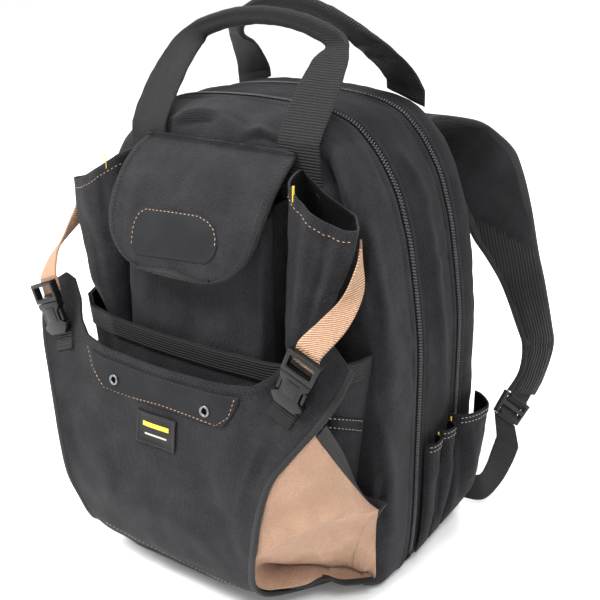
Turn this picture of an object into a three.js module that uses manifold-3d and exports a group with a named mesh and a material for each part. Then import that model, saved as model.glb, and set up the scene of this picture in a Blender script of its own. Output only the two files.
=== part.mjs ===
// Black tool backpack with tan pouch gussets and tan webbing, standing on its base.
// Millimetres, +Z up, front towards -Y, right side +X. Heights start at the ground.
import * as THREE from 'three';
import { mergeVertices } from 'three/addons/utils/BufferGeometryUtils.js';
import Module from 'manifold-3d';

// Body
const bodyWidth = 380;
const bodyHeight = 476;
const bodyDepth = 195;
const clothWall = 2.5;
const edgeRound = 28; // how far the panels' edges are rounded off
const sideSteps = 17; // facets from a base corner to the top
const seamGap = 0.3; // clearance between pieces that are sewn together

// Zippers
const frontZipperBack = 55; // from the front panel
const rearZipperBack = 142;
const zipperWidth = 10;
const zipperTape = 1.6;
const coilWidth = 5;
const coilHeight = 1.6;

// Back pad
const padWidth = 250;
const padHeight = 330;
const padBase = 45;
const padThickness = 9;

// Flap and the box pocket under it
const hingeHeight = 439;
const flapWidth = 178;
const flapDrop = 106;
const flapReach = 74;
const flapWall = 3;
const boxWidth = 166;
const boxDepth = 50;
const boxHeight = 320;
const boxTop = 387; // at the front, rising towards the body
const boxSlope = 14;

// Wing pockets
const wingInner = 94; // from the centre line
const wingOuter = 167;
const wingDepth = 42;
const wingHeight = 290;
const wingTop = 392; // at the outer corner
const wingSlant = 36; // how much higher the inner corner is

// Inner pocket wall
const innerHalf = 168;
const innerDepth = 63;
const innerTop = 263;
const innerHeight = 205;
const bandHeight = 20;
const bandThickness = 1.4;

// Pouch
const pouchHalf = 182; // half width across the ears
const pouchDepth = 120;
const pouchHeight = 284; // ground to the outer corner of an ear
const earLift = 26;
const panelSteps = 13;
const gussetWall = 2;
const bindingWidth = 6;
const bindingThickness = 4.5;
const wideBinding = 13;
const patchWall = 1;
const pouchPatchWidth = 180;
const pouchPatchTop = 9; // below the rim
const pouchPatchHeight = 29;
const labelWidth = 47;
const labelHeight = 31;
const labelWall = 1.8;
const labelTop = 46; // below the rim
const eyeletApart = 112;
const eyeletDown = 27; // below the middle of the rim
const eyeletHole = 6;
const eyeletFlange = 11;

// Tan straps and side-release buckles
const strapWidth = 25;
const strapWall = 2;
const buckleWidth = 33;
const buckleLength = 54;
const buckleThickness = 8;
const buckleLean = 22; // degrees from upright
const buckleAcross = 147;
const buckleOut = 94;
const buckleDrop = 10; // from an ear's corner down to the middle of its buckle

// Side tool pockets
const toolTop = 155;
const toolBase = 22;
const toolWall = 2;

// Handles
const handleWidth = 44;
const handleWall = 2.5;
const gripHeight = 18;
const gripWall = 9;
const handleRise = 112; // from a handle's foot to its grip

// Shoulder straps
const shoulderWall = 9;
const lowerWidth = 38;
const lowerWall = 2.4;
const adjusterLength = 27;
const adjusterWall = 6;

// Half outline of the body: height and half width as shares of bodyHeight and half of bodyWidth
const bodyOutline = [
  { up: 0.0, out: 0.87 },
  { up: 0.018, out: 0.945 },
  { up: 0.06, out: 0.985 },
  { up: 0.16, out: 1.0 },
  { up: 0.31, out: 0.995 },
  { up: 0.52, out: 0.985 },
  { up: 0.624, out: 0.957 },
  { up: 0.742, out: 0.905 },
  { up: 0.8, out: 0.865 },
  { up: 0.855, out: 0.815 },
  { up: 0.908, out: 0.735 },
  { up: 0.944, out: 0.655 },
  { up: 0.97, out: 0.57 },
  { up: 0.988, out: 0.43 },
  { up: 0.997, out: 0.22 },
  { up: 1.0, out: 0 },
];

// Rings of a shell from the middle of its panel to its zipper: back is a share of the shell's depth,
// size of the panel, inset, drop and lift are shares of edgeRound at the sides, top and base
const frontRings = [
  { back: 0, size: 0.5, inset: 0.6, drop: 1.25, lift: 0.6 },
  { back: 0, size: 1, inset: 0.6, drop: 1.25, lift: 0.6 },
  { back: 0.14, size: 1, inset: 0.2, drop: 0.6, lift: 0.2 },
  { back: 0.4, size: 1, inset: 0.05, drop: 0.28, lift: 0 },
  { back: 1, size: 1, inset: 0, drop: 0, lift: 0 },
];
const middleRings = [
  { back: 0, size: 1, inset: 0, drop: 0, lift: 0 },
  { back: 0.5, size: 1, inset: -0.09, drop: -0.1, lift: 0 },
  { back: 1, size: 1, inset: 0, drop: 0, lift: 0 },
];
const rearRings = [
  { back: 0, size: 0.5, inset: 0.8, drop: 0.9, lift: 0.5 },
  { back: 0, size: 1, inset: 0.8, drop: 0.9, lift: 0.5 },
  { back: 0.08, size: 1, inset: 0.3, drop: 0.4, lift: 0.12 },
  { back: 0.25, size: 1, inset: 0, drop: 0.1, lift: 0 },
  { back: 0.6, size: 1, inset: -0.1, drop: -0.1, lift: 0 },
  { back: 1, size: 1, inset: 0, drop: 0, lift: 0 },
];

// Flap from hinge to hem: shares of flapDrop, flapReach and half of flapWidth
const flapRows = [
  { down: -0.04, out: 0, half: 0.97 },
  { down: 0, out: 0, half: 0.97 },
  { down: 0.09, out: 0.24, half: 1 },
  { down: 0.26, out: 0.52, half: 1 },
  { down: 0.5, out: 0.77, half: 0.985 },
  { down: 0.7, out: 0.9, half: 0.93 },
  { down: 0.84, out: 0.96, half: 0.82 },
  { down: 0.94, out: 0.99, half: 0.66 },
  { down: 1, out: 1, half: 0.45 },
];

// Half plan of the box pocket: shares of half of boxWidth and of boxDepth
const boxPlan = [
  { across: 0, out: 1 },
  { across: 0.5, out: 1 },
  { across: 0.92, out: 0.98 },
  { across: 1, out: 0.86 },
  { across: 1, out: 0.62 },
  { across: 0.9, out: 0.4 },
  { across: 0.98, out: 0.12 },
  { across: 0.96, out: 0 },
  { across: 0.5, out: 0 },
  { across: 0, out: 0 },
];
const boxRows = [
  { up: 0, size: 0.86 },
  { up: 0.05, size: 1 },
  { up: 0.55, size: 1 },
  { up: 1, size: 0.97 },
];

// Plan of a wing pocket: across from its inner to its outer edge, out as a share of wingDepth
const wingPlan = [
  { across: 0, out: 0 },
  { across: 0, out: 0.35 },
  { across: 0.1, out: 0.8 },
  { across: 0.35, out: 1 },
  { across: 0.65, out: 0.98 },
  { across: 0.88, out: 0.84 },
  { across: 1, out: 0.68 },
  { across: 0.93, out: 0.4 },
  { across: 0.74, out: 0 },
  { across: 0.35, out: 0 },
];
// Wing pocket from base to top: reach of its outer edge and its depth as shares of the full ones,
// and how far the outer edge turns forward, as a share of the depth
const wingRows = [
  { up: 0, reach: 0.35, deep: 0.8, turn: 0 },
  { up: 0.06, reach: 0.42, deep: 1, turn: 0 },
  { up: 0.5, reach: 0.46, deep: 1, turn: 0 },
  { up: 0.66, reach: 0.56, deep: 1, turn: 0.4 },
  { up: 0.82, reach: 0.83, deep: 1, turn: 0.2 },
  { up: 0.92, reach: 0.95, deep: 1, turn: 0.06 },
  { up: 1, reach: 1, deep: 1, turn: 0 },
];

// Half plan of the inner pocket wall: shares of innerHalf and innerDepth
const innerPlan = [
  { across: 0, out: 1 },
  { across: 0.3, out: 1 },
  { across: 0.57, out: 0.97 },
  { across: 0.8, out: 0.82 },
  { across: 0.94, out: 0.52 },
  { across: 0.99, out: 0.22 },
  { across: 1, out: 0.02 },
];

// Pouch panel from rim to body: its middle and its side edge, out as shares of pouchDepth,
// heights as shares of pouchHeight, across as a share of pouchHalf
const panelRows = [
  { midOut: 0.833, midUp: 0.88, across: 1, out: 0.54, up: 1 },
  { midOut: 0.85, midUp: 0.838, across: 0.96, out: 0.665, up: 0.908 },
  { midOut: 0.867, midUp: 0.782, across: 0.89, out: 0.775, up: 0.817 },
  { midOut: 0.892, midUp: 0.704, across: 0.797, out: 0.875, up: 0.725 },
  { midOut: 0.925, midUp: 0.62, across: 0.715, out: 0.958, up: 0.634 },
  { midOut: 0.975, midUp: 0.5, across: 0.665, out: 1, up: 0.5 },
  { midOut: 0.99, midUp: 0.37, across: 0.632, out: 1, up: 0.37 },
  { midOut: 0.975, midUp: 0.268, across: 0.595, out: 0.95, up: 0.268 },
  { midOut: 0.925, midUp: 0.183, across: 0.578, out: 0.89, up: 0.19 },
  { midOut: 0.8, midUp: 0.113, across: 0.605, out: 0.765, up: 0.13 },
  { midOut: 0.45, midUp: 0.07, across: 0.66, out: 0.43, up: 0.078 },
  { midOut: 0.0025, midUp: 0.056, across: 0.8, out: 0.0025, up: 0.06 },
];
// Rim of the pouch: how far it rises towards the ears, as a share of earLift
const rimRows = [
  { across: 0, lift: 0 },
  { across: 0.22, lift: -0.04 },
  { across: 0.41, lift: -0.14 },
  { across: 0.55, lift: -0.17 },
  { across: 0.63, lift: 0.1 },
  { across: 0.7, lift: 0.59 },
  { across: 0.8, lift: 0.93 },
  { across: 0.88, lift: 0.86 },
  { across: 1, lift: 0 },
];

// Tan strap from behind a wing pocket's corner to its buckle: across as a share of half of bodyWidth,
// out of pouchDepth, up of bodyHeight, turn and tilt of its width in degrees, thick in strap walls
const tanRows = [
  { across: 0.847, out: 0.133, up: 0.79, turn: 120, tilt: 0, thick: 1 },
  { across: 0.885, out: 0.19, up: 0.755, turn: 108, tilt: 0, thick: 1 },
  { across: 0.942, out: 0.34, up: 0.712, turn: 75, tilt: 0, thick: 1 },
  { across: 0.925, out: 0.55, up: 0.674, turn: 36, tilt: -10, thick: 1.5 },
  { across: 0.83, out: 0.7265, up: 0.635, turn: 0, tilt: -22, thick: 2 },
  { across: 0.801, out: 0.7265, up: 0.603, turn: 0, tilt: -22, thick: 2 },
];

// Tab that holds the buckle: along the buckle as a share of its length, out of pouchDepth
const tabRows = [
  { along: -0.15, out: 0.738 },
  { along: -0.47, out: 0.738 },
  { along: -0.6, out: 0.762 },
  { along: -0.7, out: 0.785 },
  { along: -0.81, out: 0.81 },
];

// Side tool pockets: front and back ends as shares of bodyDepth, top of toolTop, bulge in mm
const toolRows = [
  { from: 0.325, to: 0.455, top: 0.985, bulge: 11 },
  { from: 0.475, to: 0.605, top: 1, bulge: 12 },
  { from: 0.625, to: 0.955, top: 1.03, bulge: 25 },
];

// Right half of a handle: across, back, up as shares of half of bodyWidth, bodyDepth and handleRise;
// wide and tall are half widths as shares of half of handleWidth, thick in handle walls
const frontHandleRows = [
  { across: 0.5, back: 0, up: -0.5, wide: 1, tall: 0, thick: 1 },
  { across: 0.475, back: 0, up: -0.15, wide: 1, tall: 0, thick: 1 },
  { across: 0.46, back: 0, up: 0.1, wide: 1, tall: 0, thick: 1 },
  { across: 0.462, back: 0.13, up: 0.42, wide: 1, tall: -0.04, thick: 1 },
  { across: 0.452, back: 0.27, up: 0.68, wide: 0.86, tall: 0.05, thick: 1.3 },
  { across: 0.43, back: 0.35, up: 0.79, wide: 0.5, tall: 0.3, thick: 2.4 },
  { across: 0.36, back: 0.365, up: 0.87, wide: 0.12, tall: 0.4, thick: 3.4 },
  { across: 0.18, back: 0.37, up: 0.955, wide: 0.02, tall: 0.4, thick: 3.6 },
  { across: 0, back: 0.37, up: 0.985, wide: 0, tall: 0.4, thick: 3.6 },
];
const rearHandleRows = [
  { across: 0.5, back: 0.93, up: 0.36, wide: 1, tall: -0.2, thick: 1 },
  { across: 0.47, back: 0.85, up: 0.53, wide: 0.92, tall: 0, thick: 1 },
  { across: 0.425, back: 0.73, up: 0.7, wide: 0.75, tall: 0.1, thick: 1.4 },
  { across: 0.39, back: 0.64, up: 0.8, wide: 0.42, tall: 0.3, thick: 2.6 },
  { across: 0.31, back: 0.585, up: 0.92, wide: 0.1, tall: 0.4, thick: 3.4 },
  { across: 0.16, back: 0.56, up: 1.03, wide: 0.02, tall: 0.4, thick: 3.6 },
  { across: 0, back: 0.55, up: 1.06, wide: 0, tall: 0.4, thick: 3.6 },
];

// Shoulder strap: its outer and inner edge, shares of half of bodyWidth, bodyDepth and bodyHeight
const shoulderRows = [
  { outX: 0.56, outY: 1.028, outZ: 0.83, inX: 0.23, inY: 1.028, inZ: 0.83 },
  { outX: 0.57, outY: 1.034, outZ: 0.885, inX: 0.24, inY: 1.034, inZ: 0.885 },
  { outX: 0.6, outY: 1.1, outZ: 0.926, inX: 0.265, inY: 1.095, inZ: 0.92 },
  { outX: 0.665, outY: 1.24, outZ: 0.922, inX: 0.325, inY: 1.22, inZ: 0.905 },
  { outX: 0.76, outY: 1.43, outZ: 0.9, inX: 0.44, inY: 1.35, inZ: 0.85 },
  { outX: 0.885, outY: 1.53, outZ: 0.85, inX: 0.59, inY: 1.34, inZ: 0.775 },
  { outX: 0.965, outY: 1.52, outZ: 0.8, inX: 0.69, inY: 1.3, inZ: 0.715 },
  { outX: 1.045, outY: 1.5, outZ: 0.72, inX: 0.79, inY: 1.29, inZ: 0.65 },
  { outX: 1.105, outY: 1.53, outZ: 0.61, inX: 0.875, inY: 1.32, inZ: 0.6 },
  { outX: 1.16, outY: 1.545, outZ: 0.534, inX: 0.95, inY: 1.41, inZ: 0.525 },
  { outX: 1.205, outY: 1.6, outZ: 0.43, inX: 1.055, inY: 1.43, inZ: 0.43 },
  { outX: 1.235, outY: 1.595, outZ: 0.37, inX: 1.105, inY: 1.43, inZ: 0.38 },
  { outX: 1.225, outY: 1.51, outZ: 0.3, inX: 1.12, inY: 1.37, inZ: 0.325 },
  { outX: 1.2, outY: 1.445, outZ: 0.258, inX: 1.09, inY: 1.285, inZ: 0.285 },
];
const lowerRows = [
  { outX: 1.17, outY: 1.35, outZ: 0.125, inX: 1.065, inY: 1.235, inZ: 0.165 },
  { outX: 1.155, outY: 1.29, outZ: 0.085, inX: 1.055, inY: 1.19, inZ: 0.13 },
  { outX: 1.125, outY: 1.2, outZ: 0.045, inX: 1.055, inY: 1.13, inZ: 0.105 },
  { outX: 1.07, outY: 1.09, outZ: 0.018, inX: 1.04, inY: 1.06, inZ: 0.09 },
  { outX: 0.96, outY: 1.03, outZ: 0.022, inX: 0.95, inY: 1.03, inZ: 0.098 },
  { outX: 0.78, outY: 1.008, outZ: 0.034, inX: 0.78, inY: 1.008, inZ: 0.11 },
];

const halfWidth = bodyWidth / 2;
const wasm = await Module();
wasm.setup();

const bag = new THREE.Group();

const cloth = { color: 0x3a3a3d, roughness: 0.9, metalness: 0 };
const smoothCloth = { color: 0x3f4144, roughness: 0.6, metalness: 0 };
const webbing = { color: 0x2b2b2d, roughness: 0.8, metalness: 0 };
const tanCloth = { color: 0xc79d7c, roughness: 0.85, metalness: 0 };
const tanWebbing = { color: 0xcfa27e, roughness: 0.8, metalness: 0 };
const mesh = { color: 0x141415, roughness: 0.95, metalness: 0 };
const coil = { color: 0x1d1d1f, roughness: 0.5, metalness: 0 };
const plastic = { color: 0x161618, roughness: 0.35, metalness: 0 };
const nickel = { color: 0xb9bcc0, roughness: 0.25, metalness: 1 };
const softRubber = { color: 0x1a1a1c, roughness: 0.5, metalness: 0 };

// Adds one named piece
function add(name, geometry, finish) {
  const piece = new THREE.Mesh(geometry, new THREE.MeshStandardMaterial(finish));
  piece.name = name;
  bag.add(piece);
}

// Adds a right-hand piece and its mirror image
function addPair(name, geometry, finish) {
  add(`right_${name}`, geometry, finish);
  const mirrored = geometry.clone();
  mirrored.scale(-1, 1, 1);
  add(`left_${name}`, facingOut(mirrored), finish);
}

// Volume inside a closed mesh, negative when its faces point inwards
function signedVolume(geometry) {
  const place = geometry.getAttribute('position');
  const index = geometry.getIndex().array;
  const a = new THREE.Vector3();
  const b = new THREE.Vector3();
  const c = new THREE.Vector3();
  let sum = 0;
  for (let i = 0; i < index.length; i += 3) {
    a.fromBufferAttribute(place, index[i]);
    b.fromBufferAttribute(place, index[i + 1]);
    c.fromBufferAttribute(place, index[i + 2]);
    sum += a.dot(b.cross(c)) / 6;
  }
  return sum;
}

// Turns a closed mesh so that its faces point outwards
function facingOut(geometry) {
  if (signedVolume(geometry) < 0) {
    const index = Array.from(geometry.getIndex().array);
    for (let i = 0; i < index.length; i += 3) {
      const swap = index[i];
      index[i] = index[i + 1];
      index[i + 1] = swap;
    }
    geometry.setIndex(index);
  }
  return geometry;
}

// Closed mesh from points and faces, with shared corners merged and empty faces dropped
function closedMesh(points, faces) {
  const loose = new THREE.BufferGeometry();
  loose.setAttribute('position', new THREE.Float32BufferAttribute(points.flatMap((p) => p.toArray()), 3));
  loose.setIndex(faces.flatMap((f) => (f.length === 4 ? [f[0], f[1], f[2], f[0], f[2], f[3]] : f)));
  const merged = mergeVertices(loose, 1e-3);
  const index = merged.getIndex().array;
  const kept = [];
  for (let i = 0; i < index.length; i += 3) {
    const [a, b, c] = [index[i], index[i + 1], index[i + 2]];
    if (a !== b && b !== c && c !== a) kept.push(a, b, c);
  }
  merged.setIndex(kept);
  return facingOut(merged);
}

// Direction that a grid of points faces at one point
function gridNormal(lines, j, i, ring) {
  const count = lines[0].length;
  const next = ring ? (i + 1) % count : Math.min(i + 1, count - 1);
  const last = ring ? (i - 1 + count) % count : Math.max(i - 1, 0);
  const across = lines[j][next].clone().sub(lines[j][last]);
  const up = lines[Math.min(j + 1, lines.length - 1)][i].clone().sub(lines[Math.max(j - 1, 0)][i]);
  return across.cross(up);
}

// Sheet of cloth over a grid of points, its wall laid on the side that the grid faces.
// A ring closes on itself; a pole draws the first line together in one point; level ends face no way along Y.
function sheet(lines, wall, { ring = false, pole = false, level = false } = {}) {
  const count = lines[0].length;
  const points = lines.flat();
  const size = points.length;
  lines.forEach((line, j) => {
    const mean = new THREE.Vector3();
    line.forEach((point, i) => mean.add(gridNormal(lines, j === 0 ? 1 : j, i, ring)));
    line.forEach((point, i) => {
      const normal = pole && j === 0 ? mean.clone() : gridNormal(lines, j, i, ring);
      if (level && (j === lines.length - 1 || (j === 0 && !pole))) normal.y = 0;
      points.push(point.clone().addScaledVector(normal.normalize(), wall));
    });
  });
  const faces = [];
  const columns = ring ? count : count - 1;
  for (let j = 0; j < lines.length - 1; j++) {
    for (let i = 0; i < columns; i++) {
      const a = j * count + i;
      const b = j * count + ((i + 1) % count);
      faces.push([a, b, b + count, a + count]);
      faces.push([a + size, a + size + count, b + size + count, b + size]);
    }
  }
  const top = (lines.length - 1) * count;
  for (let i = 0; i < columns; i++) {
    const next = (i + 1) % count;
    if (!pole) faces.push([i, i + size, next + size, next]);
    faces.push([top + i, top + next, top + next + size, top + i + size]);
  }
  if (!ring) {
    for (let j = 0; j < lines.length - 1; j++) {
      const left = j * count;
      const right = left + count - 1;
      faces.push([left, left + count, left + count + size, left + size]);
      faces.push([right, right + size, right + count + size, right + count]);
    }
  }
  return closedMesh(points, faces);
}

// Grid of points from a function of two shares, across and along
function grid(pointAt, across, along) {
  return Array.from({ length: along + 1 }, (_, j) =>
    Array.from({ length: across + 1 }, (__, i) => pointAt(i / across, j / along)));
}

// Smooth value of a table at a share of its length, for every column
function rowAt(rows, share) {
  const place = share * (rows.length - 1);
  const k = Math.min(Math.floor(place), rows.length - 2);
  const f = place - k;
  const row = {};
  for (const column of Object.keys(rows[0])) {
    const [a, b, c, d] = [k - 1, k, k + 1, k + 2].map(
      (i) => rows[THREE.MathUtils.clamp(i, 0, rows.length - 1)][column]);
    row[column] = b + 0.5 * f * (c - a + f * (2 * a - 5 * b + 4 * c - d + f * (3 * (b - c) + d - a)));
  }
  return row;
}

// Straight-line value of one column where another has a given value
function lookUp(rows, key, at, column) {
  const k = THREE.MathUtils.clamp(rows.findIndex((row) => row[key] >= at), 1, rows.length - 1);
  const share = (at - rows[k - 1][key]) / (rows[k][key] - rows[k - 1][key]);
  return THREE.MathUtils.lerp(rows[k - 1][column], rows[k][column], THREE.MathUtils.clamp(share, 0, 1));
}

// Strip along stations { at, wide, thick }: wide is half its width, and the section's corners are
// [share of half width, share of thickness] around it
const flatSection = [[-1, -0.5], [1, -0.5], [1, 0.5], [-1, 0.5]];
const paddedSection = [[-1, 0], [-0.86, -0.5], [0.86, -0.5], [1, 0], [0.86, 0.5], [-0.86, 0.5]];
function strip(stations, sectionOf = () => flatSection, loop = false) {
  const count = stations.length;
  const points = [];
  stations.forEach(({ at, wide, thick }, k) => {
    const next = stations[loop ? (k + 1) % count : Math.min(k + 1, count - 1)].at;
    const last = stations[loop ? (k - 1 + count) % count : Math.max(k - 1, 0)].at;
    const facing = wide.clone().cross(next.clone().sub(last)).normalize();
    for (const [a, b] of sectionOf(k)) {
      points.push(at.clone().addScaledVector(wide, a).addScaledVector(facing, b * thick));
    }
  });
  const corners = sectionOf(0).length;
  const faces = [];
  const spans = loop ? count : count - 1;
  for (let k = 0; k < spans; k++) {
    for (let c = 0; c < corners; c++) {
      const a = k * corners + c;
      const b = k * corners + ((c + 1) % corners);
      const up = ((k + 1) % count) * corners - k * corners;
      faces.push([a, b, b + up, a + up]);
    }
  }
  if (!loop) {
    const end = (count - 1) * corners;
    for (let c = 1; c < corners - 1; c++) {
      faces.push([0, c + 1, c]);
      faces.push([end, end + c, end + c + 1]);
    }
  }
  return closedMesh(points, faces);
}

// Solid for joining and cutting, and back
function toSolid(geometry) {
  const bare = new THREE.BufferGeometry();
  bare.setAttribute('position', geometry.getAttribute('position').clone());
  if (geometry.getIndex()) bare.setIndex(geometry.getIndex().clone());
  const merged = mergeVertices(bare, 1e-3);
  return new wasm.Manifold(new wasm.Mesh({
    numProp: 3,
    vertProperties: merged.getAttribute('position').array,
    triVerts: Uint32Array.from(merged.getIndex().array),
  }));
}
function toGeometry(solid) {
  const { vertProperties, triVerts } = solid.getMesh();
  const geometry = new THREE.BufferGeometry();
  geometry.setAttribute('position', new THREE.BufferAttribute(Float32Array.from(vertProperties), 3));
  geometry.setIndex(Array.from(triVerts));
  return geometry;
}

// Right half of the body's outline, from the middle of the base over the side to the top
const sideCurve = new THREE.CatmullRomCurve3(
  bodyOutline.map(({ up, out }) => new THREE.Vector3(out * halfWidth, 0, up * bodyHeight)), false, 'centripetal');
const baseHalf = [0, 0.5].map((share) => new THREE.Vector3(share * bodyOutline[0].out * halfWidth, 0, 0));
const rightHalf = [...baseHalf, ...sideCurve.getSpacedPoints(sideSteps)];
const wholeOutline = [
  ...rightHalf,
  ...rightHalf.slice(1, -1).reverse().map((p) => new THREE.Vector3(-p.x, 0, p.z)),
];

// One ring of a shell at its distance back from the front panel
function ringAt({ size, inset, drop, lift }, back) {
  const middle = bodyHeight / 2;
  return wholeOutline.map((p) => {
    const x = p.x * (1 - (inset * edgeRound) / halfWidth) * size;
    const z = lift * edgeRound + p.z * (1 - ((lift + drop) * edgeRound) / bodyHeight);
    return new THREE.Vector3(x, back, middle + (z - middle) * size);
  });
}

// Half width of the body at a height
function halfWidthAt(height) {
  return lookUp(rightHalf.slice(2), 'z', height, 'x');
}

function shellRings(rows, start, end) {
  return rows.map((row) => ringAt(row, THREE.MathUtils.lerp(start, end, row.back)));
}

// Adds the point in the middle of a panel before its rings
function withMiddle(rings) {
  const middle = new THREE.Vector3(0, rings[0][0].y, bodyHeight / 2);
  return [rings[0].map(() => middle.clone()), ...rings];
}

const tapeHalf = zipperWidth / 2;
const frontRingsAt = shellRings(frontRings, 0, frontZipperBack - tapeHalf - seamGap);
const middleRingsAt = shellRings(
  middleRings, frontZipperBack + tapeHalf + seamGap, rearZipperBack - tapeHalf - seamGap);
const rearRingsAt = shellRings(rearRings, bodyDepth, rearZipperBack + tapeHalf + seamGap);

function addShells() {
  add('front_shell', sheet(withMiddle(frontRingsAt), clothWall, { ring: true, pole: true, level: true }), cloth);
  add('middle_shell', sheet(middleRingsAt, clothWall, { ring: true, level: true }), cloth);
  add('rear_shell', sheet(withMiddle(rearRingsAt), -clothWall, { ring: true, pole: true, level: true }), cloth);
}

// Zipper tape all round, with a coil ridge where it opens over the sides and the top
function addZippers() {
  const level = { size: 1, inset: 0, drop: 0, lift: 0 };
  const coilFrom = edgeRound;
  for (const [name, back] of [['front_zipper', frontZipperBack], ['rear_zipper', rearZipperBack]]) {
    const wide = new THREE.Vector3(0, tapeHalf, 0);
    const stations = ringAt(level, back).map((at) => ({ at, wide, thick: 1 }));
    const coilShare = coilWidth / zipperWidth;
    const sectionOf = (k) => {
      const rise = stations[k].at.z > coilFrom ? coilHeight : 0;
      return [[-1, -zipperTape], [1, -zipperTape], [1, 0], [coilShare, rise], [-coilShare, rise], [-1, 0]];
    };
    add(name, strip(stations, sectionOf, true), coil);
  }
}

// Plain slider with its pull, on the hidden left side
function addSliders() {
  const sliderHeight = 120;
  const sliderWidth = 9;
  const sliderLength = 12;
  const pullLength = 26;
  const pullWidth = 5;
  const sliderWall = 2.6;
  const outline = new THREE.Shape([
    new THREE.Vector2(-sliderWidth / 2, 0),
    new THREE.Vector2(-pullWidth / 2, -2),
    new THREE.Vector2(-pullWidth / 2, -pullLength),
    new THREE.Vector2(pullWidth / 2, -pullLength),
    new THREE.Vector2(pullWidth / 2, -2),
    new THREE.Vector2(sliderWidth / 2, 0),
    new THREE.Vector2(sliderWidth * 0.4, sliderLength),
    new THREE.Vector2(-sliderWidth * 0.4, sliderLength),
  ]);
  for (const [name, back] of [['front_zipper', frontZipperBack], ['rear_zipper', rearZipperBack]]) {
    const slider = new THREE.ExtrudeGeometry(outline, { depth: sliderWall, bevelEnabled: false });
    slider.rotateX(Math.PI / 2);
    slider.rotateZ(-Math.PI / 2);
    slider.translate(-halfWidth - coilHeight - seamGap - 0.4, back, sliderHeight);
    add(`${name}_slider`, slider, plastic);
  }
}

function addBackPad() {
  const bevel = 3;
  const half = padWidth / 2 - bevel;
  const corner = 40;
  const outline = new THREE.Shape();
  outline.moveTo(-half + corner, 0);
  outline.lineTo(half - corner, 0);
  outline.quadraticCurveTo(half, 0, half, corner);
  outline.lineTo(half * 0.96, padHeight * 0.7);
  outline.quadraticCurveTo(half * 0.9, padHeight, half * 0.5, padHeight);
  outline.lineTo(-half * 0.5, padHeight);
  outline.quadraticCurveTo(-half * 0.9, padHeight, -half * 0.96, padHeight * 0.7);
  outline.lineTo(-half, corner);
  outline.quadraticCurveTo(-half, 0, -half + corner, 0);
  const pad = new THREE.ExtrudeGeometry(outline, {
    depth: padThickness - 2 * bevel, bevelThickness: bevel, bevelSize: bevel, bevelSegments: 2, curveSegments: 6,
  });
  pad.rotateX(Math.PI / 2);
  pad.translate(0, bodyDepth + seamGap + padThickness - bevel, padBase);
  add('back_pad', pad, mesh);
}

// Pockets lie against the webbing of the front handle, which runs down the front panel
const pocketSeat = handleWall + 2 * seamGap;

function flapPoint(share, down) {
  const row = rowAt(flapRows, down);
  const side = 2 * share - 1;
  const out = Math.max(row.out, 0) * flapReach;
  return new THREE.Vector3(
    side * row.half * (flapWidth / 2),
    -(pocketSeat + flapWall + out) + 0.06 * out * side * side,
    hingeHeight - flapDrop * row.down);
}

function addFlap() {
  add('flap', sheet(grid(flapPoint, 10, 10), flapWall), cloth);
  const patch = grid((across, along) => {
    const down = THREE.MathUtils.lerp(0.6, 0.88, along);
    const reach = THREE.MathUtils.lerp(0.6, 0.78, Math.sin((along * Math.PI) / 2));
    const point = flapPoint(0.5 + (across - 0.5) * reach, down);
    const lifted = seamGap + patchWall;
    const slope = rowAt(flapRows, Math.min(down + 0.02, 1));
    const here = rowAt(flapRows, down);
    const normal = new THREE.Vector3(
      0, -(slope.down - here.down) * flapDrop, -(slope.out - here.out) * flapReach).normalize();
    return point.addScaledVector(normal, lifted + 0.2);
  }, 8, 4);
  add('flap_patch', sheet(patch, patchWall), smoothCloth);
}

// Cup from its plan and its rows, closed at the base
function cup(planPoint, plan, rows, baseMiddle) {
  const rings = rows.map((row) => plan.map((corner) => planPoint(corner, row)));
  return sheet([plan.map(() => baseMiddle.clone()), ...rings], -clothWall, { ring: true, pole: true });
}

function addFlapPocket() {
  const mirrored = boxPlan.slice(1, -1).reverse().map(({ across, out }) => ({ across: -across, out }));
  const plan = [...boxPlan, ...mirrored];
  const planPoint = ({ across, out }, { up, size }) => new THREE.Vector3(
    across * size * (boxWidth / 2),
    -(pocketSeat + out * size * boxDepth),
    boxTop - boxHeight * (1 - up) + boxSlope * (1 - out) * up * up);
  const middle = new THREE.Vector3(0, -(pocketSeat + boxDepth / 2), boxTop - boxHeight);
  add('flap_pocket', cup(planPoint, plan, boxRows, middle), cloth);
}

function addWingPockets() {
  const span = wingOuter - wingInner;
  const planPoint = ({ across, out }, { up, reach, deep, turn }) => new THREE.Vector3(
    wingInner + across * span * reach,
    -(pocketSeat + (out + (out > 0 ? across * turn : 0)) * deep * wingDepth),
    wingTop - wingHeight * (1 - up) + wingSlant * (1 - across) ** 1.6 * up * up);
  const middle = new THREE.Vector3(
    wingInner + span * 0.15, -(pocketSeat + wingDepth * 0.4), wingTop - wingHeight);
  addPair('wing_pocket', cup(planPoint, wingPlan, wingRows, middle), cloth);
}

function innerPoint(side, down, lifted) {
  const across = Math.abs(side);
  const narrowing = 1 - 0.12 * down;
  return new THREE.Vector3(
    Math.sign(side) * across * (innerHalf + lifted) * narrowing,
    -(lookUp(innerPlan, 'across', across, 'out') * innerDepth * narrowing + lifted),
    innerTop + 5 * across * across - innerHeight * down);
}

function addInnerPocket() {
  const wall = grid((across, down) => innerPoint(2 * across - 1, down, 0), 16, 4);
  add('inner_pocket', sheet(wall, gussetWall), cloth);
  const lifted = seamGap + bandThickness + 0.2;
  const band = grid(
    (across, down) => innerPoint((2 * across - 1) * 0.99, (down * bandHeight) / innerHeight, lifted), 16, 1);
  add('inner_pocket_band', sheet(band, bandThickness), webbing);
}

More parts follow.
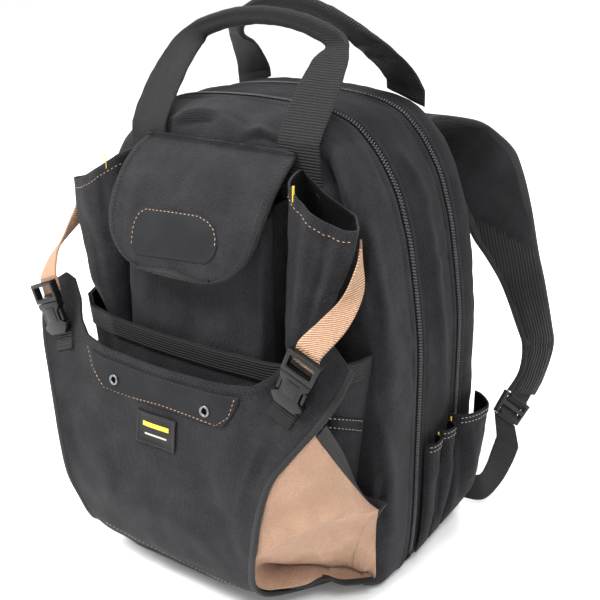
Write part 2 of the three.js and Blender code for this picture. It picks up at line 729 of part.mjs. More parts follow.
function panelPoint(side, down) {
  const row = rowAt(panelRows, down);
  const across = Math.abs(side);
  const ear = earLift * lookUp(rimRows, 'across', Math.min(across, 1), 'lift') * Math.max(0, 1 - 4 * down) ** 1.5;
  return new THREE.Vector3(
    side * row.across * pouchHalf,
    -pouchDepth * THREE.MathUtils.lerp(row.midOut, row.out, side * side) + 0.66 * ear,
    pouchHeight * THREE.MathUtils.lerp(row.midUp, row.up, side * side) + ear);
}

// Direction that the pouch panel faces, outwards
function panelNormal(side, down) {
  const step = 0.01;
  const from = Math.min(Math.max(down, step), 1 - step);
  const across = panelPoint(side + step, from).sub(panelPoint(side - step, from));
  const along = panelPoint(side, from + step).sub(panelPoint(side, from - step));
  return along.cross(across).normalize();
}

// How far down the middle of the panel a point lies, from its distance below the rim
function panelDown(belowRim) {
  const rim = panelPoint(0, 0).z;
  let down = 0;
  while (rim - panelPoint(0, down).z < belowRim) down += 0.002;
  return down;
}

// Piece of cloth lying on the pouch panel, half as wide as its rows say
function onPanel(halfOf, from, to, wall, across, along) {
  const lines = grid((share, t) => {
    const down = THREE.MathUtils.lerp(panelDown(from), panelDown(to), t);
    const half = halfOf(t) / (rowAt(panelRows, down).across * pouchHalf);
    const side = (2 * share - 1) * half;
    return panelPoint(side, down).addScaledVector(panelNormal(side, down), wall + seamGap + 0.2);
  }, across, along);
  return sheet(lines, wall);
}

// Round cutter through the panel at an eyelet
function eyeletCutter(at, facing, radius) {
  const cutter = new THREE.CylinderGeometry(radius, radius, pouchDepth / 4, 10);
  cutter.applyQuaternion(new THREE.Quaternion().setFromUnitVectors(new THREE.Vector3(0, 1, 0), facing));
  cutter.translate(at.x, at.y, at.z);
  return toSolid(cutter);
}

function addPouchPanel() {
  const down = panelDown(eyeletDown);
  const side = eyeletApart / 2 / (rowAt(panelRows, down).across * pouchHalf);
  const barrel = eyeletHole / 2 + 0.8;
  let panel = toSolid(sheet(grid((across, t) => panelPoint(2 * across - 1, t), 16, panelSteps), clothWall));
  const patchHalf = (t) => (pouchPatchWidth / 2) * (1 - 0.155 * t * t);
  let patch = toSolid(onPanel(patchHalf, pouchPatchTop, pouchPatchTop + pouchPatchHeight, patchWall, 10, 3));
  const flange = new THREE.LatheGeometry([
    new THREE.Vector2(eyeletHole / 2, -4),
    new THREE.Vector2(barrel, -4),
    new THREE.Vector2(barrel, seamGap),
    new THREE.Vector2(eyeletFlange / 2, seamGap),
    new THREE.Vector2(eyeletFlange / 2 - 0.6, 1.4),
    new THREE.Vector2(eyeletHole / 2, 1.4),
    new THREE.Vector2(eyeletHole / 2, -4),
  ], 12);
  for (const [name, hand] of [['right', 1], ['left', -1]]) {
    const facing = panelNormal(hand * side, down);
    const at = panelPoint(hand * side, down).addScaledVector(facing, patchWall + seamGap + 0.2);
    panel = panel.subtract(eyeletCutter(at, facing, barrel + seamGap));
    patch = patch.subtract(eyeletCutter(at, facing, barrel + seamGap));
    const ring = flange.clone();
    ring.applyQuaternion(new THREE.Quaternion().setFromUnitVectors(new THREE.Vector3(0, 1, 0), facing));
    ring.translate(at.x, at.y, at.z);
    add(`${name}_eyelet`, toGeometry(toSolid(ring)), nickel);
  }
  add('pouch_panel', toGeometry(panel), cloth);
  add('pouch_patch', toGeometry(patch), smoothCloth);
  add('label_patch', onPanel(() => labelWidth / 2, labelTop, labelTop + labelHeight, labelWall, 3, 2), softRubber);
}

// Station of a tape beside an edge: at its middle, half its width pointing away from the edge
function tapeStation(edge, away, width, thick) {
  const wide = away.clone().normalize().multiplyScalar(width / 2);
  return { at: edge.clone().add(wide).addScaledVector(wide.clone().normalize(), seamGap), wide, thick };
}

function addPouchBindings() {
  const stations = [];
  for (let k = 0; k < panelSteps; k++) {
    const down = k / panelSteps;
    const edge = panelPoint(1, down).addScaledVector(panelNormal(1, down), -clothWall / 2);
    const away = panelPoint(1, down).sub(panelPoint(0.96, down));
    stations.push(tapeStation(edge, away, bindingWidth, bindingThickness));
  }
  addPair('pouch_binding', strip(stations), webbing);
}

// Gusset between the panel's edge and the body: front to back, and from its bound top edge down
const gussetFrom = 0.275;
const gussetTo = 0.86;
const gussetBackTop = 128;
const gussetBackBase = 25;
function gussetPoint(back, down) {
  const along = THREE.MathUtils.lerp(gussetFrom, gussetTo, down);
  const inward = panelNormal(1, along).negate();
  const away = panelPoint(1, along).sub(panelPoint(0.96, along)).normalize();
  const front = panelPoint(1, along);
  front.addScaledVector(inward, clothWall / 2 + bindingThickness / 2 + seamGap + 1.2);
  front.addScaledVector(away, bindingWidth * 0.4);
  const rear = new THREE.Vector3(
    halfWidth - 0.45 * edgeRound, -0.3 * seamGap, THREE.MathUtils.lerp(gussetBackTop, gussetBackBase, down));
  const point = front.clone().lerp(rear, back);
  const outward = new THREE.Vector3(rear.y - front.y, front.x - rear.x, 0).normalize();
  const crease = down - (0.78 - 0.62 * back);
  const fullness = Math.sin(Math.PI * back) * Math.sin(Math.PI * Math.min(1, 0.12 + down * 0.9));
  const fold = Math.exp(-((crease / 0.17) ** 2));
  return point.addScaledVector(outward, fullness * (13 - 15 * fold));
}

function addGussets() {
  addPair('gusset', sheet(grid(gussetPoint, 9, 10), gussetWall), tanCloth);
  const edgeTape = (down, other, width) => {
    const stations = [];
    const steps = 7;
    for (let k = 0; k <= steps; k++) {
      const back = THREE.MathUtils.lerp(0.14, 0.96, k / steps);
      const edge = gussetPoint(back, down);
      stations.push(tapeStation(edge, edge.clone().sub(gussetPoint(back, other)), width, bindingThickness * 0.7));
    }
    return strip(stations);
  };
  addPair('gusset_binding', edgeTape(0, 0.05, wideBinding), webbing);
  addPair('hem', edgeTape(1, 0.95, bindingWidth), webbing);
}

// Half-width vector of a strap from its turn about the vertical and its tilt, in degrees
function widthVector(turn, tilt, width) {
  const [h, t] = [turn, tilt].map(THREE.MathUtils.degToRad);
  return new THREE.Vector3(Math.cos(h) * Math.cos(t), Math.sin(h) * Math.cos(t), Math.sin(t))
    .multiplyScalar(width / 2);
}

function addTanStraps() {
  const stations = [];
  const steps = 12;
  const furthest = tanRows[tanRows.length - 1].out;
  for (let k = 0; k <= steps; k++) {
    const row = rowAt(tanRows, k / steps);
    const out = Math.min(row.out, furthest) * pouchDepth;
    const at = new THREE.Vector3(row.across * halfWidth, -out, row.up * bodyHeight);
    stations.push({ at, wide: widthVector(row.turn, row.tilt, strapWidth), thick: row.thick * strapWall });
  }
  addPair('tan_strap', strip(stations), tanWebbing);
}

// Flat plastic piece cut from an outline in the buckle's plane
function buckleSlab(outline, holes = []) {
  const shape = new THREE.Shape(outline.map(([x, y]) => new THREE.Vector2(x, y)));
  for (const hole of holes) shape.holes.push(new THREE.Path(hole.map(([x, y]) => new THREE.Vector2(x, y))));
  const slab = new THREE.ExtrudeGeometry(shape, {
    depth: buckleThickness - 2, bevelThickness: 1, bevelSize: 1, bevelOffset: -1, bevelSegments: 1,
  });
  slab.translate(0, 0, 1 - buckleThickness / 2);
  slab.rotateX(Math.PI / 2);
  slab.rotateY(THREE.MathUtils.degToRad(buckleLean));
  slab.translate(buckleAcross, -buckleOut, pouchHeight - buckleDrop);
  return toGeometry(toSolid(slab));
}

// Point in the buckle's own plane
function bucklePoint(across, along) {
  const lean = THREE.MathUtils.degToRad(buckleLean);
  return new THREE.Vector3(
    buckleAcross + across * Math.cos(lean) + along * Math.sin(lean),
    -buckleOut,
    pouchHeight - buckleDrop - across * Math.sin(lean) + along * Math.cos(lean));
}

function addBuckles() {
  const half = buckleWidth / 2;
  const end = buckleLength / 2;
  const joint = 6;
  const bar = 4;
  const notch = half * 0.62;
  const frame = [[-half, joint + seamGap], [half, joint + seamGap], [half, end], [-half, end]];
  const window = [
    [-half + bar, joint + 5], [-half + bar, end - bar], [half - bar, end - bar], [half - bar, joint + 5]];
  addPair('buckle_top', buckleSlab(frame, [window]), plastic);
  const base = [
    [-half + 1, joint], [half - 1, joint], [half - 1, joint - 5], [notch, joint - 10], [notch, -joint - 8],
    [half, -joint - 12], [half, -end + 6], [half - 6, -end], [-half + 6, -end], [-half, -end + 6],
    [-half, -joint - 12], [-notch, -joint - 8], [-notch, joint - 10], [-half + 1, joint - 5],
  ].reverse();
  addPair('buckle_base', buckleSlab(base), plastic);
  const wide = widthVector(0, -buckleLean, strapWidth);
  const stations = tabRows.map(({ along, out }) => {
    const at = bucklePoint(0, along * buckleLength);
    at.y = -out * pouchDepth;
    return { at, wide, thick: strapWall };
  });
  addPair('buckle_tab', strip(stations), webbing);
}

// Side sleeves for tools: sheets whose ends and base lie on the body's side
function addToolPockets() {
  toolRows.forEach(({ from, to, top, bulge }, n) => {
    const seat = halfWidth + 0.1 * edgeRound + toolWall + seamGap;
    const pocket = grid((along, down) => {
      const height = THREE.MathUtils.lerp(top * toolTop, toolBase, down);
      const side = halfWidthAt(height) - halfWidth + seat;
      const fullness = Math.sin(Math.PI * along) ** 0.6 * (1 - down ** 3) * (1 - 0.25 * down);
      const back = bodyDepth * THREE.MathUtils.lerp(from, to, along);
      return new THREE.Vector3(side + bulge * fullness, back, height);
    }, 8, 6);
    addPair(`tool_pocket_${n + 1}`, sheet(pocket, -toolWall), cloth);
  });
}

// Stations of a handle's right half, mirrored to make the whole
function handleStations(rows, first, seat) {
  const steps = 13;
  const half = first ? [first] : [];
  for (let k = 0; k <= steps; k++) {
    const row = rowAt(rows, k / steps);
    half.push({
      at: new THREE.Vector3(
        row.across * halfWidth, Math.max(row.back, 0) * bodyDepth + seat, hingeHeight + row.up * handleRise),
      wide: new THREE.Vector3(row.wide, 0, row.tall).multiplyScalar(handleWidth / 2),
      thick: row.thick * handleWall,
    });
  }
  const mirror = ({ at, wide, thick }) => ({
    at: new THREE.Vector3(-at.x, at.y, at.z), wide: new THREE.Vector3(-wide.x, wide.y, wide.z), thick });
  return [...half, ...half.slice(0, -1).reverse().map(mirror)];
}

// Foot of the rear handle, standing on the rounded top of the rear band
function rearFoot() {
  const ring = rearRingsAt[3].filter((p) => p.x > 0 && p.z > bodyHeight / 2).sort((a, b) => a.x - b.x);
  const across = rearHandleRows[0].across * halfWidth;
  const [inner, outer] = [across - handleWidth / 2, across + handleWidth / 2].map(
    (x) => new THREE.Vector3(x, ring[0].y, lookUp(ring, 'x', x, 'z') + seamGap + 0.2 * edgeRound));
  return { at: inner.clone().lerp(outer, 0.5), wide: outer.clone().sub(inner).divideScalar(2), thick: handleWall };
}

function addHandles() {
  const seat = -(seamGap + handleWall / 2);
  add('front_handle', strip(handleStations(frontHandleRows, null, seat)), webbing);
  add('rear_handle', strip(handleStations(rearHandleRows, rearFoot(), 0)), webbing);
}

// Stations of a strap given by its outer and inner edge
function edgeStations(rows, steps, thick, seat) {
  const stations = [];
  for (let k = 0; k <= steps; k++) {
    const row = rowAt(rows, k / steps);
    const outer = new THREE.Vector3(row.outX * halfWidth, row.outY * bodyDepth + seat, row.outZ * bodyHeight);
    const inner = new THREE.Vector3(row.inX * halfWidth, row.inY * bodyDepth + seat, row.inZ * bodyHeight);
    stations.push({ at: outer.clone().lerp(inner, 0.5), wide: outer.sub(inner).divideScalar(2), thick });
  }
  return stations;
}

function addShoulderStraps() {
  const stations = edgeStations(shoulderRows, 22, shoulderWall, 0);
  addPair('shoulder_strap', strip(stations, () => paddedSection), mesh);

  // The adjuster hangs on the strap's end, and the lower webbing leaves its lower edge
  const end = stations[stations.length - 1];
  const down = end.at.clone().sub(stations[stations.length - 2].at).normalize();
  const facing = end.wide.clone().cross(down).normalize();
  const across = down.clone().cross(facing).normalize();
  const half = end.wide.length() + 1;
  const shape = new THREE.Shape([
    new THREE.Vector2(-half, 0), new THREE.Vector2(half, 0),
    new THREE.Vector2(half * 0.92, -adjusterLength), new THREE.Vector2(-half * 0.92, -adjusterLength)]);
  for (const from of [-4, -15]) {
    shape.holes.push(new THREE.Path([
      new THREE.Vector2(-half + 4, from), new THREE.Vector2(-half + 4, from - 6),
      new THREE.Vector2(half - 4, from - 6), new THREE.Vector2(half - 4, from)]));
  }
  const adjuster = new THREE.ExtrudeGeometry(shape, { depth: adjusterWall, bevelEnabled: false });
  adjuster.translate(0, 0, -adjusterWall / 2);
  const place = new THREE.Matrix4().makeBasis(across, down.clone().negate(), facing.clone().negate());
  if (place.determinant() < 0) place.makeBasis(across, down.clone().negate(), facing);
  const start = Math.abs(end.wide.dot(down)) + seamGap + 0.3;
  place.setPosition(end.at.clone().addScaledVector(down, start));
  adjuster.applyMatrix4(place);
  addPair('adjuster', facingOut(toGeometry(toSolid(adjuster))), plastic);

  const below = {
    at: end.at.clone().addScaledVector(down, start + adjusterLength + seamGap + 0.3),
    wide: across.clone().multiplyScalar((end.wide.dot(across) < 0 ? -1 : 1) * lowerWidth / 2),
    thick: lowerWall,
  };
  const seat = seamGap + lowerWall / 2 - 0.008 * bodyDepth;
  const rest = edgeStations(lowerRows, 14, lowerWall, seat);
  addPair('lower_webbing', strip([below, ...rest]), webbing);
}

addShells();
addZippers();
addSliders();
addBackPad();
addFlap();
addFlapPocket();
addWingPockets();
addInnerPocket();
addPouchPanel();
addPouchBindings();
addGussets();
addTanStraps();
addBuckles();
addToolPockets();
addHandles();
addShoulderStraps();

// The origin is under the middle of the whole bag, on the ground
const reach = new THREE.Box3().setFromObject(bag);
bag.position.set(-(reach.min.x + reach.max.x) / 2, -(reach.min.y + reach.max.y) / 2, -reach.min.z);
const group = new THREE.Group();
group.add(bag);

export default group;
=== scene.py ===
import math
from types import SimpleNamespace

import bmesh
import bpy
from mathutils import Matrix, Vector, noise
from mathutils.bvhtree import BVHTree


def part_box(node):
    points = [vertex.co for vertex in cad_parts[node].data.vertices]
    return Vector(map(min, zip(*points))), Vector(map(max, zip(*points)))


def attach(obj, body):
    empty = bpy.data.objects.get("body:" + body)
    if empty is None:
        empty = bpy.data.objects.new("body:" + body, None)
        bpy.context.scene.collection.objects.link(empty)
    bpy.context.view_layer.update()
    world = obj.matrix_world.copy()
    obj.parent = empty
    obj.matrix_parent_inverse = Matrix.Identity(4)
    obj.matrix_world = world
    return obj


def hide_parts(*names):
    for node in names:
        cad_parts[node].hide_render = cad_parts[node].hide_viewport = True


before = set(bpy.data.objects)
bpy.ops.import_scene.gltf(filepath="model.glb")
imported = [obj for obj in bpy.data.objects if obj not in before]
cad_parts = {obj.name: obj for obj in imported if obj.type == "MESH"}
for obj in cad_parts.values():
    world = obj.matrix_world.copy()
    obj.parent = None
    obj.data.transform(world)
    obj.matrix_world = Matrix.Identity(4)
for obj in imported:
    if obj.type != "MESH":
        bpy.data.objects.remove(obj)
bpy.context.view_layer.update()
print("stage: frame loaded")

# The bag is described in millimetres with its front panel at y 0 and the ground at z 0,
# and set into the shared frame by place()
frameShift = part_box("front_shell")[0][1] * 1000

bag = {
    "bodyWidth": 380, "bodyHeight": 476, "bodyDepth": 195, "clothWall": 2.5, "edgeRound": 28,
    "frontZipperBack": 55, "rearZipperBack": 142, "zipperWidth": 10, "seamGap": 0.3,
}
halfWidth = bag["bodyWidth"] / 2
bodyHeight = bag["bodyHeight"]
bodyDepth = bag["bodyDepth"]
edgeRound = bag["edgeRound"]
seamGap = bag["seamGap"]
tapeHalf = bag["zipperWidth"] / 2
pocketSeat = bag["clothWall"] + 2 * seamGap
sides = (("right", False), ("left", True))


def place(point):
    return Vector((point[0] / 1000, (point[1] + frameShift) / 1000, point[2] / 1000))


def lerp(a, b, t):
    return a + (b - a) * t


def clamp(value, low, high):
    return max(low, min(high, value))


def smooth(low, high, value):
    t = clamp((value - low) / (high - low), 0, 1)
    return t * t * (3 - 2 * t)


def table(columns, *rows):
    return SimpleNamespace(columns=columns.split(), rows=rows)


# Smooth value of a table at a share of its length
def rowAt(rows, share):
    last = len(rows.rows) - 1
    spot = clamp(share, 0, 1) * last
    k = min(int(spot), last - 1)
    f = spot - k
    picked = [rows.rows[clamp(i, 0, last)] for i in (k - 1, k, k + 1, k + 2)]
    values = [
        b + 0.5 * f * (c - a + f * (2 * a - 5 * b + 4 * c - d + f * (3 * (b - c) + d - a)))
        for a, b, c, d in zip(*picked)]
    return SimpleNamespace(**dict(zip(rows.columns, values)))


# Straight-line value in a list of pairs
def between(pairs, at):
    for (x0, y0), (x1, y1) in zip(pairs, pairs[1:]):
        if at <= x1:
            return lerp(y0, y1, clamp((at - x0) / (x1 - x0), 0, 1))
    return pairs[-1][1]


# Half outline of the body: height and half width as shares of bodyHeight and half of bodyWidth
bodyOutline = table("up out",
    (0.0, 0.87), (0.018, 0.945), (0.06, 0.985), (0.16, 1.0), (0.31, 0.995), (0.52, 0.985),
    (0.624, 0.957), (0.742, 0.905), (0.8, 0.865), (0.855, 0.815), (0.908, 0.735), (0.944, 0.655),
    (0.97, 0.57), (0.988, 0.43), (0.997, 0.22), (1.0, 0))

# Rings of a shell from the middle of its panel to its zipper: back is a share of the shell's depth,
# size of the panel, inset, drop and lift are shares of edgeRound at the sides, top and base
frontRings = table("back size inset drop lift",
    (0, 0.5, 0.6, 1.25, 0.6), (0, 1, 0.6, 1.25, 0.6), (0.14, 1, 0.2, 0.6, 0.2),
    (0.4, 1, 0.05, 0.28, 0), (1, 1, 0, 0, 0))

middleRings = table("back size inset drop lift",
    (0, 1, 0, 0, 0), (0.5, 1, -0.09, -0.1, 0), (1, 1, 0, 0, 0))

rearRings = table("back size inset drop lift",
    (0, 0.5, 0.8, 0.9, 0.5), (0, 1, 0.8, 0.9, 0.5), (0.08, 1, 0.3, 0.4, 0.12), (0.25, 1, 0, 0.1, 0),
    (0.6, 1, -0.1, -0.1, 0), (1, 1, 0, 0, 0))

# Flap from hinge to hem: shares of flapDrop, flapReach and half of flapWidth
flapRows = table("down out half",
    (-0.04, 0, 0.97), (0, 0, 0.97), (0.09, 0.24, 1), (0.26, 0.52, 1), (0.5, 0.77, 0.985),
    (0.7, 0.9, 0.93), (0.84, 0.96, 0.82), (0.94, 0.99, 0.66), (1, 1, 0.45))

# Half plan of the box pocket: shares of half of boxWidth and of boxDepth
boxPlan = table("across out",
    (0, 1), (0.5, 1), (0.92, 0.98), (1, 0.86), (1, 0.62), (0.9, 0.4), (0.98, 0.12), (0.96, 0),
    (0.5, 0), (0, 0))

boxRows = table("up size",
    (0, 0.86), (0.05, 1), (0.55, 1), (1, 0.97))

# Plan of a wing pocket: across from its inner to its outer edge, out as a share of wingDepth
wingPlan = table("across out",
    (0, 0), (0, 0.35), (0.1, 0.8), (0.35, 1), (0.65, 0.98), (0.88, 0.84), (1, 0.68), (0.93, 0.4),
    (0.74, 0), (0.35, 0))

# Wing pocket from base to top: reach of its outer edge and its depth as shares of the full ones,
# and how far the outer edge turns forward, as a share of the depth
wingRows = table("up reach deep turn",
    (0, 0.35, 0.8, 0), (0.06, 0.42, 1, 0), (0.5, 0.46, 1, 0), (0.66, 0.56, 1, 0.4),
    (0.82, 0.83, 1, 0.2), (0.92, 0.95, 1, 0.06), (1, 1, 1, 0))

# Half plan of the inner pocket wall: shares of innerHalf and innerDepth
innerPlan = table("across out",
    (0, 1), (0.3, 1), (0.57, 0.97), (0.8, 0.82), (0.94, 0.52), (0.99, 0.22), (1, 0.02))

# Pouch panel from rim to body: its middle and its side edge, out as shares of pouchDepth,
# heights as shares of pouchHeight, across as a share of pouchHalf
panelRows = table("midOut midUp across out up",
    (0.833, 0.88, 1, 0.54, 1), (0.85, 0.838, 0.96, 0.665, 0.908),
    (0.867, 0.782, 0.89, 0.775, 0.817), (0.892, 0.704, 0.797, 0.875, 0.725),
    (0.925, 0.62, 0.715, 0.958, 0.634), (0.975, 0.5, 0.665, 1, 0.5), (0.99, 0.37, 0.632, 1, 0.37),
    (0.975, 0.268, 0.595, 0.95, 0.268), (0.925, 0.183, 0.578, 0.89, 0.19),
    (0.8, 0.113, 0.605, 0.765, 0.13), (0.45, 0.07, 0.66, 0.43, 0.078),
    (0.0025, 0.056, 0.8, 0.0025, 0.06))

# Rim of the pouch: how far it rises towards the ears, as a share of earLift
rimRows = table("across lift",
    (0, 0), (0.22, -0.04), (0.41, -0.14), (0.55, -0.17), (0.63, 0.1), (0.7, 0.59), (0.8, 0.93),
    (0.88, 0.86), (1, 0))

# Tan strap from behind a wing pocket's corner to its buckle: across as a share of half of bodyWidth,
# out of pouchDepth, up of bodyHeight, turn and tilt of its width in degrees, thick in strap walls
tanRows = table("across out up turn tilt thick",
    (0.847, 0.133, 0.79, 120, 0, 1), (0.862, 0.19, 0.755, 108, 0, 1),
    (0.888, 0.34, 0.712, 72, 0, 1), (0.875, 0.55, 0.674, 34, -14, 1.5),
    (0.82, 0.7265, 0.635, 0, -22, 2), (0.801, 0.7265, 0.603, 0, -22, 2))

# Tab that holds the buckle: along the buckle as a share of its length, out of pouchDepth
tabRows = table("along out",
    (-0.15, 0.738), (-0.47, 0.738), (-0.6, 0.762), (-0.7, 0.785), (-0.81, 0.81))

# Side tool pockets: front and back ends as shares of bodyDepth, top of toolTop, bulge in mm
toolRows = table("from to top bulge",
    (0.325, 0.455, 0.985, 11), (0.475, 0.605, 1, 12), (0.625, 0.955, 1.03, 25))

# Right half of a handle: across, back, up as shares of half of bodyWidth, bodyDepth and handleRise;
# wide and tall are half widths as shares of half of handleWidth, thick in handle walls
frontHandleRows = table("across back up wide tall thick",
    (0.5, 0, -0.5, 1, 0, 1), (0.475, 0, -0.15, 1, 0, 1), (0.46, 0, 0.1, 1, 0, 1),
    (0.462, 0.13, 0.42, 1, -0.04, 1), (0.452, 0.27, 0.68, 0.86, 0.05, 1.3),
    (0.43, 0.35, 0.79, 0.5, 0.3, 2.4), (0.36, 0.365, 0.87, 0.12, 0.4, 3.4),
    (0.18, 0.37, 0.955, 0.02, 0.4, 3.6), (0, 0.37, 0.985, 0, 0.4, 3.6))

rearHandleRows = table("across back up wide tall thick",
    (0.5, 0.93, 0.36, 1, -0.2, 1), (0.47, 0.85, 0.53, 0.92, 0, 1),
    (0.425, 0.73, 0.7, 0.75, 0.1, 1.4), (0.39, 0.64, 0.8, 0.42, 0.3, 2.6),
    (0.31, 0.585, 0.92, 0.1, 0.4, 3.4), (0.16, 0.56, 1.03, 0.02, 0.4, 3.6),
    (0, 0.55, 1.06, 0, 0.4, 3.6))

# Shoulder strap: its outer and inner edge, shares of half of bodyWidth, bodyDepth and bodyHeight
shoulderRows = table("outX outY outZ inX inY inZ",
    (0.56, 1.028, 0.83, 0.23, 1.028, 0.83), (0.57, 1.034, 0.885, 0.24, 1.034, 0.885),
    (0.6, 1.1, 0.926, 0.265, 1.095, 0.92), (0.665, 1.24, 0.922, 0.325, 1.22, 0.905),
    (0.76, 1.43, 0.9, 0.44, 1.35, 0.85), (0.885, 1.53, 0.85, 0.59, 1.34, 0.775),
    (0.965, 1.52, 0.8, 0.69, 1.3, 0.715), (1.045, 1.5, 0.72, 0.79, 1.29, 0.65),
    (1.105, 1.53, 0.61, 0.875, 1.32, 0.6), (1.16, 1.545, 0.534, 0.95, 1.41, 0.525),
    (1.205, 1.6, 0.43, 1.055, 1.43, 0.43), (1.235, 1.595, 0.37, 1.105, 1.43, 0.38),
    (1.225, 1.51, 0.3, 1.12, 1.37, 0.325), (1.2, 1.445, 0.258, 1.09, 1.285, 0.285))

lowerRows = table("outX outY outZ inX inY inZ",
    (1.17, 1.35, 0.125, 1.065, 1.235, 0.165), (1.155, 1.29, 0.085, 1.055, 1.19, 0.13),
    (1.125, 1.2, 0.045, 1.055, 1.13, 0.105), (1.07, 1.09, 0.018, 1.04, 1.06, 0.09),
    (0.96, 1.03, 0.022, 0.95, 1.03, 0.098), (0.78, 1.008, 0.034, 0.78, 1.008, 0.11))


# Outline of the body as points and the share of its length at each, from the middle of the base
def makeOutline():
    half = [(0.0, 0.0)]
    steps = 240
    for k in range(steps + 1):
        row = rowAt(bodyOutline, k / steps)
        half.append((max(row.out, 0) * halfWidth, max(row.up, 0) * bodyHeight))
    whole = half + [(-x, z) for x, z in reversed(half[:-1])]
    length = [0.0]
    for a, b in zip(whole, whole[1:]):
        length.append(length[-1] + math.dist(a, b))
    return whole, [value / length[-1] for value in length], length[-1]


outlinePoints, outlineShares, outlineLength = makeOutline()


def outlineAt(share):
    share = share % 1
    low, high = 0, len(outlineShares) - 1
    while high - low > 1:
        middle = (low + high) // 2
        if outlineShares[middle] <= share:
            low = middle
        else:
            high = middle
    span = outlineShares[high] - outlineShares[low] or 1
    t = (share - outlineShares[low]) / span
    a, b = outlinePoints[low], outlinePoints[high]
    return lerp(a[0], b[0], t), lerp(a[1], b[1], t)


def halfWidthAt(height):
    points = outlinePoints[1:len(outlinePoints) // 2]
    return between([(z, x) for x, z in points], height)


# Point of a ring at a share of the outline
def ringPoint(share, row, back, size=1):
    x, z = outlineAt(share)
    x *= (1 - row.inset * edgeRound / halfWidth) * size
    z = row.lift * edgeRound + z * (1 - (row.lift + row.drop) * edgeRound / bodyHeight)
    return Vector((x, back, bodyHeight / 2 + (z - bodyHeight / 2) * size))


# Shell with a panel: the panel's share of the grid comes first, then its rounded edge and its band
def shellPoint(rows, start, end, panelShare):
    edge = table(" ".join(rows.columns), *rows.rows[1:])

    def pointAt(around, out):
        if out < panelShare:
            return ringPoint(around, rowAt(edge, 0), start, out / panelShare)
        row = rowAt(edge, (out - panelShare) / (1 - panelShare))
        return ringPoint(around, row, lerp(start, end, clamp(row.back, 0, 1)))
    return pointAt


frontEnd = bag["frontZipperBack"] - tapeHalf - seamGap
rearEnd = bag["rearZipperBack"] + tapeHalf + seamGap
frontShellPoint = shellPoint(frontRings, 0, frontEnd, 0.4)
rearShellPoint = shellPoint(rearRings, bodyDepth, rearEnd, 0.15)


def middleShellPoint(around, out):
    start = bag["frontZipperBack"] + tapeHalf + seamGap
    row = rowAt(middleRings, out)
    return ringPoint(around, row, lerp(start, bag["rearZipperBack"] - tapeHalf - seamGap, row.back))


flapSizes = {"hinge": 439, "width": 178, "drop": 106, "reach": 74, "wall": 3}


def flapPoint(share, down):
    row = rowAt(flapRows, down)
    side = 2 * share - 1
    out = max(row.out, 0) * flapSizes["reach"]
    return Vector((
        side * row.half * flapSizes["width"] / 2,
        -(pocketSeat + flapSizes["wall"] + out) + 0.06 * out * side * side,
        flapSizes["hinge"] - flapSizes["drop"] * row.down))


boxSizes = {"width": 166, "depth": 50, "height": 320, "top": 387, "slope": 14}
boxLoop = table(
    "across out", *boxPlan.rows, *[(-across, out) for across, out in reversed(boxPlan.rows[1:-1])])


# Point of a closed plan at a share of its loop, with softly rounded corners
def loopAt(plan, share):
    rows = plan.rows
    count = len(rows)
    spot = (share % 1) * count
    k = int(spot) % count
    f = spot - int(spot)
    a, b, c, d = (rows[(k + i) % count] for i in (-1, 0, 1, 2))
    smoothed = [
        q + 0.5 * f * (r - p + f * (2 * p - 5 * q + 4 * r - s + f * (3 * (q - r) + s - p)))
        for p, q, r, s in zip(a, b, c, d)]
    return [lerp(lerp(q, r, f), value, 0.7) for q, r, value in zip(b, c, smoothed)]


def boxPoint(around, up):
    across, out = loopAt(boxLoop, around)
    baseShare = 0.12
    if up < baseShare:  # the base, from its middle outwards
        reach = up / baseShare
        size = reach * boxRows.rows[0][1]
        return Vector((
            across * size * boxSizes["width"] / 2,
            -(pocketSeat + lerp(0.5, out * 0.86, reach) * boxSizes["depth"]),
            boxSizes["top"] - boxSizes["height"]))
    height = (up - baseShare) / (1 - baseShare)
    size = between([(row[0], row[1]) for row in boxRows.rows], height)
    return Vector((
        across * size * boxSizes["width"] / 2,
        -(pocketSeat + out * size * boxSizes["depth"]),
        boxSizes["top"] - boxSizes["height"] * (1 - height)
        + boxSizes["slope"] * (1 - out) * height ** 2))


wingSizes = {"inner": 94, "outer": 167, "depth": 42, "height": 290, "top": 392, "slant": 36}


def wingRowAt(height):
    rows = wingRows.rows
    for a, b in zip(rows, rows[1:]):
        if height <= b[0]:
            t = clamp((height - a[0]) / (b[0] - a[0]), 0, 1)
            return [lerp(x, y, t) for x, y in zip(a, b)]
    return rows[-1]


def wingPoint(around, up):
    across, out = loopAt(wingPlan, around)
    span = wingSizes["outer"] - wingSizes["inner"]
    baseShare = 0.1
    height = max(0, (up - baseShare) / (1 - baseShare))
    _, reach, deep, turn = wingRowAt(height)
    point = Vector((
        wingSizes["inner"] + across * span * reach,
        -(pocketSeat + (out + (across * turn if out > 0 else 0)) * deep * wingSizes["depth"]),
        wingSizes["top"] - wingSizes["height"] * (1 - height)
        + wingSizes["slant"] * (1 - across) ** 1.6 * height ** 2))
    if up < baseShare:
        middle = Vector((
            wingSizes["inner"] + span * 0.15, -(pocketSeat + wingSizes["depth"] * 0.4),
            wingSizes["top"] - wingSizes["height"]))
        return middle.lerp(point, up / baseShare)
    return point


innerSizes = {"half": 168, "depth": 63, "top": 263, "height": 205, "band": 20}


def innerPoint(side, down, lifted=0):
    across = abs(side)
    narrowing = 1 - 0.12 * down
    out = between([(row[0], row[1]) for row in innerPlan.rows], across)
    return Vector((
        math.copysign(across * (innerSizes["half"] + lifted) * narrowing, side),
        -(out * innerSizes["depth"] * narrowing + lifted),
        innerSizes["top"] + 5 * across * across - innerSizes["height"] * down))


pouchSizes = {"half": 182, "depth": 120, "height": 284, "earLift": 26}


